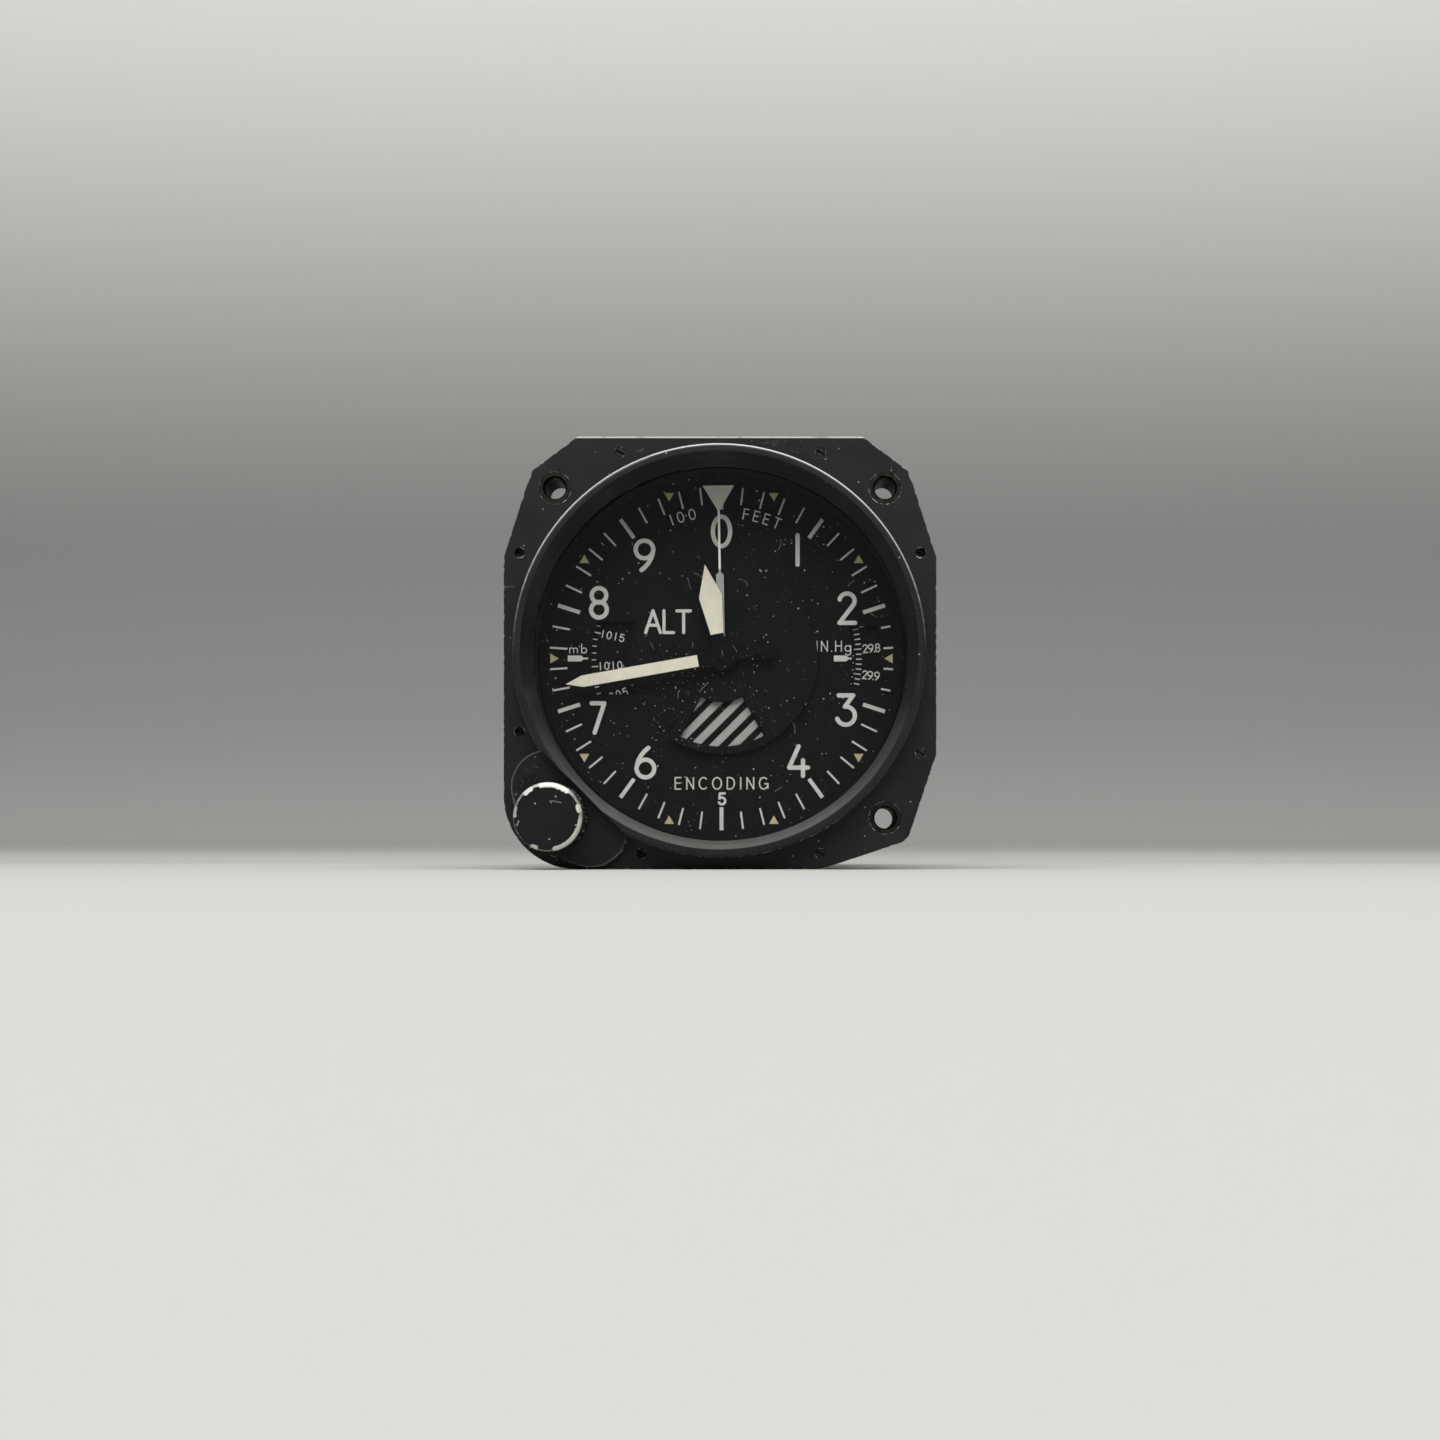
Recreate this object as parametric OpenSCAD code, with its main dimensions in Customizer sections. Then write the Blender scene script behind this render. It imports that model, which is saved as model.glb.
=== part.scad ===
// Panel altimeter with three pointers, a setting knob and an altitude encoder.
// Millimetres. X is right and Z is up as the dial is read, and Y runs to the rear.
// The origin is on the dial axis, in the face of the flange that meets the panel.

/* [Case] */
// Outer diameter of the barrel
barrel_d = 77.8; // [74:0.2:84]
// Wall thickness of the barrel
barrel_wall = 1.7; // [1.2:0.1:1.8]
// Length from the panel face to the rear face
case_l = 155; // [150:1:200]
// Thickness of the rear wall
rear_wall = 2; // [1.5:0.1:4]
// How far the flange's flats stand outside the barrel
flange_border = 2.3; // [2.2:0.1:4]
// Thickness of the case flange
flange_t = 5; // [4.6:0.1:8]

/* [Bezel] */
// Thickness of the bezel plate
plate_t = 4.5; // [4.2:0.1:6]
// Height of the ring in front of the plate
ring_h = 6; // [3:0.1:9]
// Flat width of the ring's front rim
rim_w = 0.9; // [0.5:0.1:1.6]
// Rounding of the ring's outer edge
ring_round = 0.6; // [0.3:0.1:1]
// Thickness of the lip in front of the glass
lip_t = 1; // [0.8:0.1:1.2]
// Distance from the barrel's side to the screw holes
hole_offset = 5.55; // [5.2:0.05:5.7]
// Bore of the panel screw inserts
insert_bore = 4; // [3:0.1:4.6]
// Outer diameter of the panel screw inserts
insert_d = 6; // [5.6:0.1:6.6]
// Diameter of the bezel screws
bezel_screw_d = 1.8; // [1.4:0.1:2.2]
// Height of the pad round the knob
pad_h = 2; // [1:0.1:3]
// Thickness of the gasket between bezel and case
gasket_t = 0.5; // [0.3:0.1:1]

/* [Glass] */
// Thickness of the cover glass
glass_t = 2; // [1.5:0.1:2.2]
// Thickness of the glass gasket
glass_gasket_t = 0.8; // [0.4:0.1:0.9]

/* [Knob] */
// Knob diameter
knob_d = 12.8; // [10:0.1:13.6]
// Knob length
knob_l = 11; // [8:0.5:16]
// Diameter of the knob's shaft
knob_shaft_d = 3.2; // [2.4:0.1:4]
// Teeth on the knob's pinion
knob_teeth = 14; // [13:1:15]
// Teeth on the setting ring
setting_teeth = 97; // [94:1:100]

/* [Dial] */
// Depth of the dial's face behind the panel face
dial_y = 12; // [11.9:0.1:14]
// Thickness of the dial plate
dial_t = 0.8; // [0.5:0.1:1.2]
// Gap between the dial's edge and the ticks
tick_edge = 2.15; // [1.5:0.05:4]
// Length of a minor tick
minor_l = 3.4; // [2:0.1:4]
// Length of a major tick
major_l = 4.5; // [3:0.1:5]
// Thickness of printed marks
print_t = 0.1; // [0.05:0.05:0.2]

/* [Pointers] */
// How far the 100 foot pointer stops short of the ticks' ends
hundreds_gap = 3.05; // [0:0.05:6]
// Width of the 100 foot pointer
hundreds_w = 2.25; // [1.5:0.05:3]
// Reach of the 1000 foot pointer
thousands_l = 18.3; // [14:0.1:22]
// How far the 10,000 foot pointer stops short of the ticks' ends
ten_thousands_gap = 0.05; // [0:0.05:3]
// Radius of the 10,000 foot pointer's disc
shade_r = 18.8; // [18.2:0.1:20]
// Thickness of a pointer
pointer_t = 0.4; // [0.3:0.05:0.5]
// Altitude shown, in feet
shown_ft = -278; // [-1000:1:0]

/* [Gear train] */
// Tooth size of the first reduction
first_module = 0.4; // [0.38:0.005:0.42]
// Tooth size of the centre wheel
centre_module = 0.3; // [0.29:0.005:0.31]
// Tooth size of the sector
sector_module = 0.25; // [0.245:0.0025:0.255]
// Width of every gear's face
face_w = 1.2; // [0.8:0.1:1.4]
// Diameter of the pointer arbor
arbor_d = 1.5; // [1.2:0.1:1.8]
// Wall of each pointer sleeve
sleeve_wall = 0.55; // [0.4:0.05:0.65]
// Thickness of the movement plates
movement_plate_t = 2; // [1.5:0.1:2.4]

/* [Pressure capsules] */
// Gap between the capsules and the long pillars
capsule_gap = 0.8; // [0.5:0.1:4]
// Number of capsules in the stack
capsule_count = 3; // [2:1:4]
// Length of the link from the stack to the arm's pin
link_l = 3.6; // [3:0.1:6]
// Length of the rocking arm
arm_l = 5; // [4.5:0.1:5.5]

/* [Encoder] */
// Gap between the coded disc and the standoffs
code_disc_gap = 1.35; // [0.8:0.05:5]

/* [Rear] */
// Bore of the static port's thread
port_bore = 8.6; // [6:0.1:10]
// Height of the connector above the axis
connector_z = 9; // [6:0.5:14]
// Depth of the static port below the axis
port_drop = 18; // [16:0.5:22]

/* [Fits] */
// Radial gap of a shaft in its bush
run_gap = 0.05; // [0.03:0.01:0.08]
// Gap between parts that pass each other
pass_gap = 0.3; // [0.2:0.05:0.35]

/* [Hidden] */
$fn = 96;

// Radii from the barrel inwards
barrel_r = barrel_d / 2;
bore_r = barrel_r - barrel_wall;
flange_half = barrel_r + flange_border;
cup_wall = 0.8;
cup_r = bore_r - pass_gap;
cup_bore_r = cup_r - cup_wall;
dial_r = cup_bore_r - pass_gap;
glass_seat_r = bore_r + pass_gap;
glass_gap = 0.2;
glass_r = glass_seat_r - glass_gap;
rim_r = barrel_r - ring_round - rim_w;
tick_r = dial_r - tick_edge;
hundreds_l = tick_r - hundreds_gap;
ten_thousands_l = tick_r - ten_thousands_gap;

// Movement plates inside the case's lugs, and the ring of pillars on them
lug_h = 4;
movement_r = bore_r - lug_h - 2 * pass_gap;
pillar_r = 1.8;
pillar_edge = 3.45;
pillar_xy = (movement_r - pillar_edge) / sqrt(2);
pillar_places = [for (sx = [-1, 1], sz = [-1, 1]) pillar_xy * [sx, sz]];
capsule_r = pillar_xy - pillar_r - capsule_gap;
code_disc_r = movement_r - pillar_edge - pillar_r - code_disc_gap;

// Panel holes, and the knob in the fourth corner
hole_r = barrel_r + hole_offset;
hole_xy = hole_r / sqrt(2);
panel_holes = [[-hole_xy, hole_xy], [hole_xy, hole_xy], [hole_xy, -hole_xy]];
knob_at = [-hole_xy, -hole_xy];
knob_angle = 225;
insert_chamfer = 0.5;
knob_clear = 1.05;
ring_flat = hole_r - knob_d / 2 - knob_clear;
// Screws through the bezel, along each side and in from its edge
screw_edge = flange_half - 3;
screw_reach = 19.1;
screw_reach_by_knob = 15;
bezel_screw_places = [
    for (s = [-1, 1]) [s * screw_reach, screw_edge],
    for (s = [-1, 1]) [s * screw_edge, screw_reach],
    [screw_edge, -screw_reach], [screw_reach, -screw_edge],
    [-screw_edge, -screw_reach_by_knob], [-screw_reach_by_knob, -screw_edge]
];

// Depths from the panel face to the rear
glass_gasket_y = lip_t;
glass_y = glass_gasket_y + glass_gasket_t;
retainer_y = glass_y + glass_t;
flange_y = plate_t + gasket_t;
flange_back = flange_y + flange_t;
setting_y = flange_y + 2 * pass_gap;
setting_w = 2;
recess_back = setting_y + setting_w + 2 * pass_gap;
dial_back = dial_y + dial_t;
disc_gap = 2 * pass_gap;
disc_t = 0.8;
disc_y = dial_back + disc_gap;
disc_back = disc_y + disc_t;
hub_flange_y = disc_back + pass_gap;
hub_flange_t = 3.5;
front_plate_y = hub_flange_y + hub_flange_t;
front_plate_back = front_plate_y + movement_plate_t;
layer_gap = 1;
function layer(i) = front_plate_back + layer_gap + i * (face_w + layer_gap);
layers = 5;
rear_plate_y = layer(layers) + 2 * layer_gap;
rear_plate_back = rear_plate_y + movement_plate_t;
sector_y = rear_plate_back + 2 * layer_gap;
bracket_y = rear_plate_back;
capsule_y = sector_y + face_w + layer_gap + capsule_r + 2 * layer_gap;
bracket_t = 2;
lug_y = capsule_y + capsule_r + 3 * layer_gap;
encoder_gear_y = lug_y + bracket_t + 3 * layer_gap;
encoder_plate_y = encoder_gear_y + face_w + 2 * layer_gap;
encoder_plate_back = encoder_plate_y + movement_plate_t;
code_disc_y = encoder_plate_back + 4 * layer_gap;
code_disc_t = 1;
bridge_y = code_disc_y + code_disc_t + 4 * layer_gap;
board_t = 1.6;
board_room = 13.4;
board_y = case_l - rear_wall - board_room - board_t;

// Pointer stack in front of the dial
pointer_gap = 0.7;
shade_t = 0.6;
shade_back = dial_y - print_t - pointer_gap;
shade_y = shade_back - shade_t;
ten_thousands_y = shade_y - pointer_t;
thousands_y = ten_thousands_y - pointer_gap - pointer_t;
hundreds_y = thousands_y - pointer_gap - pointer_t;

// Pointer directions, anticlockwise from +X as the dial is read
turn_ft = 1000;
hundreds_angle = 90 - 360 * shown_ft / turn_ft;
thousands_angle = 90 - 36 * shown_ft / turn_ft;
ten_thousands_angle = 90 - 3.6 * shown_ft / turn_ft;

// Concentric arbor and sleeves
arbor_r = arbor_d / 2;
thousands_bore_r = arbor_r + run_gap;
thousands_r = thousands_bore_r + sleeve_wall;
ten_thousands_bore_r = thousands_r + run_gap;
ten_thousands_r = ten_thousands_bore_r + sleeve_wall;
hub_r = 18;
hub_flange_r = 20;

// Teeth
pressure_angle = 25;
addendum = 0.8;
dedendum = 1.05;
backlash = 0.12;
pinion_teeth = 12;
first_wheel_teeth = 40;
second_wheel_teeth = 36;
centre_wheel_teeth = 100;
sector_teeth = 192;
sector_cut_low = 3;
sector_cut_high = 33;
encoder_pinion_teeth = 20;
encoder_wheel_teeth = 60;
setting_module = 2 * hole_r / (knob_teeth + setting_teeth);
setting_tip_r = setting_module * (setting_teeth / 2 + addendum);
recess_r = setting_tip_r + pass_gap;
pinion_pocket_r = setting_module * (knob_teeth / 2 + addendum) + pass_gap;

// Shaft places in the front view
lay_x = first_module * (pinion_teeth + first_wheel_teeth) / 2;
second_module = 2 * lay_x / (pinion_teeth + second_wheel_teeth);
first_lay_at = [lay_x, 0];
second_lay_at = [-lay_x, 0];
centre_at = [0, centre_module * (pinion_teeth + centre_wheel_teeth) / 2];
encoder_pair_module = 2 * centre_at.y / (encoder_pinion_teeth + encoder_wheel_teeth);
rocking_drop = 8.2;
sector_span = sector_module * (pinion_teeth + sector_teeth) / 2;
rocking_rise = centre_at.y + rocking_drop;
rocking_at = [sqrt(sector_span * sector_span - rocking_rise * rocking_rise), -rocking_drop];
sector_angle = atan2(rocking_rise, -rocking_at.x);
lay_shaft_r = 0.7;
rocking_shaft_r = 1;
centre_arbor_r = 1;
lug_angles = [90, 210, 330];

// Capsule stack between its bracket, which stands clear of the bore, and the arm's link
bracket_half = 14;
bracket_clear = 2.46;
capsule_base_z = bracket_t + bracket_clear - sqrt(bore_r * bore_r - bracket_half * bracket_half);
arm_dip = 26.4;
arm_pin_r = 0.4;
arm_pin_at = rocking_at + arm_l * [-cos(arm_dip), -sin(arm_dip)];
capsule_top_z = arm_pin_at.y - link_l;
capsule_stack_h = capsule_top_z - capsule_base_z;

// A front-view shape extruded from depth y0 to y1
module slab(y0, y1) {
    translate([0, y1, 0]) rotate([90, 0, 0]) linear_extrude(y1 - y0) children();
}

// A [radius, depth] profile turned about the dial axis, or about an axis beside it
module turned(at = [0, 0]) {
    translate([at.x, 0, at.y]) rotate([-90, 0, 0]) rotate_extrude() children();
}

// A round bar along the depth
module bar(r, y0, y1, at = [0, 0]) {
    translate([at.x, y0, at.y]) rotate([-90, 0, 0]) cylinder(r = r, h = y1 - y0);
}

// A round tube along the depth
module tube(r, bore, y0, y1, at = [0, 0]) {
    difference() {
        bar(r, y0, y1, at);
        bar(bore, y0 - 1, y1 + 1, at);
    }
}

// A cheese-head screw with a slot, its head in front
module slotted_screw(at, y0, head_r, head_t, shank_r, l, slot_w) {
    difference() {
        union() {
            bar(head_r, y0, y0 + head_t, at);
            bar(shank_r, y0 + head_t, y0 + head_t + l, at);
        }
        translate([at.x, y0, at.y]) rotate([0, 30, 0])
            cube([3 * head_r, head_t, slot_w], center = true);
    }
}

// A rectangle with round ends between two points
module stadium(a, b, r) {
    d = b - a;
    side = r * [-d.y, d.x] / norm(d);
    translate(a) circle(r);
    translate(b) circle(r);
    polygon([a + side, a - side, b - side, b + side]);
}

// Part of a ring between two angles that span less than a half turn
module ring_sector(r0, r1, a0, a1) {
    far = 2 * r1;
    intersection() {
        difference() {
            circle(r1);
            circle(r0);
        }
        polygon([
            [0, 0], far * [cos(a0), sin(a0)],
            far * [cos((a0 + a1) / 2), sin((a0 + a1) / 2)], far * [cos(a1), sin(a1)]
        ]);
    }
}

// Involute teeth: the half angle of a tooth at radius r
function involute(a) = tan(a) * 180 / PI - a;
function half_tooth(z, m, r) =
    let (base = m * z / 2 * cos(pressure_angle))
    90 / z * (1 - 2 * backlash / PI) + involute(pressure_angle) - involute(acos(min(1, base / r)));
function on_circle(r, a) = r * [cos(a), sin(a)];
function tooth(z, m, c) =
    let (pitch = m * z / 2, root = pitch - dedendum * m, tip = pitch + addendum * m)
    [for (s = [-1, 1], k = [0:2])
        let (r = [root, pitch, tip][s < 0 ? k : 2 - k]) on_circle(r, c + s * half_tooth(z, m, r))];
function gear_points(z, m, phase) = [for (i = [0:z - 1]) each tooth(z, m, phase + 360 * i / z)];
// A wheel has a tooth towards its pinion, and the pinion a gap towards the wheel
function towards(a, b) = atan2(b.y - a.y, b.x - a.x);
function pinion_phase(z, a, b) = towards(a, b) + 180 / z;

module pinion(z, m, at, wheel_at, y0) {
    slab(y0, y0 + face_w) translate(at) polygon(gear_points(z, m, pinion_phase(z, at, wheel_at)));
}

// A crossed-out wheel with a hub, bored for its arbor
module wheel(z, m, at, pinion_at, y0, bore, boss_r, boss_l, arms) {
    rim = m * (z / 2 - 2.6);
    hole_in = boss_r + 0.6;
    arm_w = 1.2;
    difference() {
        union() {
            slab(y0, y0 + face_w) translate(at) polygon(gear_points(z, m, towards(at, pinion_at)));
            bar(boss_r, y0 + min(0, boss_l), y0 + face_w + max(0, boss_l), at);
        }
        bar(bore, y0 - 5, y0 + 5, at);
        slab(y0 - 5, y0 + 5) translate(at) difference() {
            circle(rim);
            circle(hole_in);
            for (i = [0:arms - 1]) rotate(180 * i / arms + 20) square([2 * rim + 1, arm_w], center = true);
        }
    }
}

// Outline of the flange and of the bezel behind it, seen from the front
top_flat = 14;
shoulder = [[5.5, 6.4], [4.4, 9.2], [0, 23]];
foot_cut = 21.9;
foot_corner = 5.5;
foot_round = 3;
knob_corner_r = 14;

module flange_outline() {
    h = flange_half;
    corner = [h - foot_corner, foot_corner - h];
    side = [h, foot_cut - h];
    under = [h - foot_cut, -h];
    u = (side - corner) / norm(side - corner);
    v = (under - corner) / norm(under - corner);
    half = acos(u * v) / 2;
    run = foot_round / tan(half);
    round_at = corner + (u + v) / norm(u + v) * foot_round / sin(half);
    difference() {
        polygon([
            [top_flat - h, h], [h - top_flat, h], for (p = shoulder) [h - p.x, h - p.y],
            side, corner, under, [-h, -h], for (i = [2:-1:0]) [shoulder[i].x - h, h - shoulder[i].y]
        ]);
        difference() {
            polygon([corner + run * u, round_at, corner + run * v, 2 * corner - round_at]);
            translate(round_at) circle(foot_round);
        }
        difference() {
            translate([-2 * h, -2 * h]) square(h + knob_corner_r);
            translate([knob_corner_r - h, knob_corner_r - h]) circle(knob_corner_r);
        }
    }
}

// Raised pad round the knob, on the bezel's lower left corner
pad_r = 7;
pad_seam = 0.01;
pad_corners = [knob_at, knob_at + [6.9, -2.4], knob_at + [-1.2, 5.9]];

module pad_outline() {
    for (p = pad_corners) translate(p) circle(pad_r);
    polygon([
        for (i = [0:2], k = [0:1])
            let (a = pad_corners[i], b = pad_corners[(i + 1) % 3], d = b - a)
            (k == 0 ? a : b) + (pad_r - pad_seam) * [d.y, -d.x] / norm(d)
    ]);
}

knob_shaft_r = knob_shaft_d / 2;
insert_r = insert_d / 2;
insert_back = flange_back + 2;
bezel_screw_r = bezel_screw_d / 2;
bezel_screw_l = 7;
land = 0.4;

module ring_profile() {
    deep = ring_h - ring_round;
    translate([dial_r - 1, -deep]) square([barrel_r - dial_r + 1, deep]);
    translate([dial_r - 1, -ring_h]) square([barrel_r - ring_round - dial_r + 1, ring_round]);
    translate([barrel_r - ring_round, -deep]) circle(ring_round);
}

// The sloping inner wall of the ring, down to the lip
module ring_opening() {
    slope = (rim_r - dial_r) / (ring_h + lip_t - land);
    turned() polygon([
        [0, -ring_h - 1], [rim_r + slope, -ring_h - 1], [dial_r, lip_t - land], [dial_r, lip_t + 1], [0, lip_t + 1]
    ]);
}

module front_bezel() {
    color("#2b2b2d") difference() {
        union() {
            slab(0, plate_t) flange_outline();
            turned() ring_profile();
            slab(-pad_h, 0) pad_outline();
        }
        ring_opening();
        bar(glass_seat_r, glass_gasket_y, plate_t + 1);
        rotate([0, -knob_angle, 0]) translate([ring_flat, -2 * ring_h, -barrel_r])
            cube([barrel_r, 2 * ring_h - pad_h, barrel_d]);
        for (p = panel_holes) bar(insert_r + run_gap, -1, plate_t + 1, p);
        for (p = bezel_screw_places) bar(bezel_screw_r + run_gap, -1, plate_t + 1, p);
        bar(knob_shaft_r + run_gap, -pad_h - 1, plate_t + 1, knob_at);
    }
}

module bezel_gasket() {
    color("#1a1a1a") slab(plate_t, flange_y) difference() {
        flange_outline();
        circle(recess_r + run_gap);
        translate(knob_at) circle(pinion_pocket_r);
        for (p = panel_holes) translate(p) circle(insert_r + pass_gap);
        for (p = bezel_screw_places) translate(p) circle(bezel_screw_r + run_gap);
    }
}

module panel_inserts() {
    color("#8d8a80") for (p = panel_holes) turned(p) polygon([
        [insert_bore / 2 + insert_chamfer, 0], [insert_r, 0], [insert_r, insert_back],
        [insert_bore / 2, insert_back], [insert_bore / 2, insert_chamfer]
    ]);
}

// Fillister screws; alternate heads lie deep in their holes
screw_recess = 1.4;
screw_slot = 0.35;
module bezel_screws() {
    color("#4a4a4a") for (i = [0:len(bezel_screw_places) - 1])
        slotted_screw(bezel_screw_places[i], i < 2 || i == 4 || i == 5 ? 0.1 : screw_recess,
            bezel_screw_r, 1.2, bezel_screw_r - 0.2, bezel_screw_l - screw_recess, screw_slot);
}

module glass_gasket() {
    color("#161616") tube(glass_r, dial_r + glass_gap, glass_gasket_y, glass_y);
}

module cover_glass() {
    color("#c9d3d6", 0.3) bar(glass_r, glass_y, retainer_y);
}

retainer_w = 1.3;
module glass_retainer() {
    color("#3c3c3e") tube(glass_seat_r - run_gap, glass_seat_r - retainer_w, retainer_y, plate_t);
}

// Case
knob_boss_r = 4;
knob_boss_l = 2;
lug_l = 6;
lug_half_angle = 8;
lug_screw_r = 1;
lug_screw_at = bore_r - lug_h / 2;
port_at = [0, -port_drop];
port_neck_r = 6;
connector_at = [0, connector_z];

module case_body() {
    color("#232324") difference() {
        union() {
            slab(flange_y, flange_back) flange_outline();
            bar(barrel_r, flange_y, case_l);
            bar(knob_boss_r, flange_back, flange_back + knob_boss_l, knob_at);
        }
        difference() {
            bar(bore_r, flange_y - 1, case_l - rear_wall);
            slab(front_plate_back, front_plate_back + lug_l) for (a = lug_angles)
                ring_sector(bore_r - lug_h, barrel_r, a - lug_half_angle, a + lug_half_angle);
        }
        bar(recess_r, flange_y - 1, recess_back);
        bar(pinion_pocket_r, flange_y - 1, recess_back, knob_at);
        bar(knob_shaft_r + run_gap, flange_y, flange_back + knob_boss_l + 1, knob_at);
        for (p = panel_holes) bar(insert_r + run_gap, flange_y - 1, flange_back + 1, p);
        for (p = bezel_screw_places) bar(bezel_screw_r, flange_y - 1, flange_back - 1, p);
        for (a = lug_angles) bar(lug_screw_r + run_gap, front_plate_back - 1, front_plate_back + lug_l + 1,
            on_circle(lug_screw_at, a));
        bar(port_neck_r + run_gap, case_l - rear_wall - 1, case_l + 1, port_at);
        slab(case_l - rear_wall - 1, case_l + 1) translate(connector_at) d_outline(run_gap);
        slab(case_l - rear_wall - 1, case_l + 1) for (s = [-1, 1])
            translate(connector_at + [s * jack_spacing / 2, 0]) circle(jack_r + run_gap);
    }
}

// Setting knob and its shaft
knob_r = knob_d / 2;
knob_gap = 2 * pass_gap;
knob_back = -pad_h - knob_gap;
knob_front = knob_back - knob_l;
knob_round = 0.8;
knob_ribs = 60;
rib_depth = 0.25;
knob_skirt = 1.6;
shaft_depth = 8;
set_screw_r = 1;
set_screw_y = (knob_front + knob_back) / 2;
clip_t = 0.5;
clip_y = flange_back + knob_boss_l;
shaft_back = clip_y + clip_t + layer_gap;
groove_r = knob_shaft_r - 0.4;

module knob_profile() {
    translate([0, knob_front + knob_round]) square([knob_r, knob_l - knob_round]);
    translate([0, knob_front]) square([knob_r - knob_round, knob_round]);
    translate([knob_r - knob_round, knob_front + knob_round]) circle(knob_round);
}

module setting_knob() {
    color("#1f2022") difference() {
        turned(knob_at) knob_profile();
        slab(knob_front + knob_skirt, knob_back - knob_skirt) translate(knob_at) for (i = [0:knob_ribs - 1])
            rotate(360 * i / knob_ribs) translate([knob_r, 0]) circle(rib_depth, $fn = 4);
        bar(knob_shaft_r + run_gap, knob_back - shaft_depth, knob_back + 1, knob_at);
        translate([knob_at.x, set_screw_y, knob_at.y]) cylinder(r = set_screw_r + run_gap, h = knob_d);
    }
}

module knob_set_screw() {
    socket_r = 0.5;
    tip = knob_shaft_r + 2 * run_gap;
    color("#5a5a5c") translate([knob_at.x, set_screw_y, knob_at.y + tip]) difference() {
        cylinder(r = set_screw_r, h = knob_r - tip - 2 * rib_depth);
        translate([0, 0, 1.5]) cylinder(r = socket_r, h = knob_r, $fn = 6);
    }
}

module knob_shaft() {
    color("#a8894a") union() {
        difference() {
            bar(knob_shaft_r, knob_back - shaft_depth + pass_gap, shaft_back, knob_at);
            tube(knob_r, groove_r, clip_y, clip_y + clip_t + run_gap, knob_at);
        }
        slab(setting_y, setting_y + setting_w) translate(knob_at)
            polygon(gear_points(knob_teeth, setting_module, knob_angle + 180 + 180 / knob_teeth));
    }
}

module knob_clip() {
    clip_r = knob_shaft_r + 1.4;
    color("#8a8a8c") slab(clip_y, clip_y + clip_t) translate(knob_at) difference() {
        circle(clip_r);
        circle(groove_r + run_gap);
        translate([0, -clip_r]) square([2 * groove_r, 2 * clip_r], center = true);
    }
}

// Setting ring, scale disc and their hub
module baro_ring_gear() {
    color("#b08d4c") union() {
        slab(setting_y, setting_y + setting_w) difference() {
            polygon(gear_points(setting_teeth, setting_module, knob_angle));
            circle(cup_bore_r);
        }
        tube(cup_r, cup_bore_r, setting_y + setting_w, disc_y);
    }
}

module baro_disc() {
    color("#1b1b1d") tube(cup_r, hub_r + run_gap, disc_y, disc_back);
}

hub_bore_r = 13;
module baro_hub() {
    color("#9a9a9a") difference() {
        union() {
            bar(hub_r, dial_back, hub_flange_y);
            bar(hub_flange_r, hub_flange_y, front_plate_y);
        }
        bar(hub_bore_r, dial_back - 1, front_plate_y + 1);
        for (p = dial_screw_places) bar(dial_screw_r + run_gap, dial_back - 1, front_plate_y + 1, p);
    }
}

// Dial and what is on it
dial_screw_r = 0.7;
dial_screw_at = (hub_r + hub_bore_r) / 2;
// The screws sit between the centre arbor at the top and the striped sector at the bottom
dial_screw_turn = 20;
dial_screw_places = [for (a = lug_angles) on_circle(dial_screw_at, a + dial_screw_turn)];
// Windows over the scale disc: inner radius, outer radius, top and bottom
window_edge = 2.35;
inch_window_w = 5.6;
window_margin = 0.5;
window_step = 0.2;
inch_window_ends = [6.4, -5.7];
mb_window_ends = [7.2, -7];
inch_window = [tick_r - window_edge - inch_window_w, tick_r - window_edge, each inch_window_ends];
mb_window = [hub_r + window_margin, inch_window[0] - window_step, each mb_window_ends];

// A window between two radii, cut level at its top and bottom
module dial_window(w, side) {
    intersection() {
        difference() {
            circle(w[1]);
            circle(w[0]);
        }
        translate([side < 0 ? -w[1] : 0, w[3]]) square([w[1], w[2] - w[3]]);
    }
}

module dial_plate() {
    color("#202022") slab(dial_y, dial_back) difference() {
        circle(dial_r);
        circle(ten_thousands_r + 2 * pass_gap);
        dial_window(mb_window, -1);
        dial_window(inch_window, 1);
        for (p = dial_screw_places) translate(p) circle(dial_screw_r + run_gap);
    }
}

ticks = 50;
minor_w = 0.36;
major_w = 0.75;
// Index marks beside the windows: back, shoulder, neck and tip of each
mb_index = [for (gap = [4.6, 2, 1.5, 0.65]) -mb_window[1] - gap];
inch_index = [for (gap = [3.7, 1.3, 0.8, 0.2]) inch_window[0] - gap];
index_h = 1.15;
index_tip_h = 0.32;

module index_mark(x) {
    wide = index_h / 2;
    thin = index_tip_h / 2;
    polygon([
        [x[0], wide], [x[0], -wide], [x[1], -wide], [x[2], -thin],
        [x[3], -thin], [x[3], thin], [x[2], thin], [x[1], wide]
    ]);
}

module dial_marks() {
    color("#d6d2c4") slab(dial_y - print_t, dial_y) {
        for (i = [0:ticks - 1]) {
            a = 90 - 360 * i / ticks;
            major = i % 5 == 0;
            end = on_circle(tick_r - minor_l, a);
            by_window = end.x > 0 && end.y < inch_window[2] && end.y > inch_window[3];
            l = by_window ? tick_r - inch_window[1] - window_margin : major ? major_l : minor_l;
            w = major ? major_w : minor_w;
            rotate(a) translate([tick_r - l, -w / 2]) square([l, w]);
        }
        index_mark(mb_index);
        index_mark(inch_index);
    }
}

flag_r = [8.6, 17.3];
flag_half_angle = 28.5;
stripes = 6;
stripe_w = 1.45;
stripe_pitch = 2.73;
stripe_offset = 0.1;
stripe_lean = 45;

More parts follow.
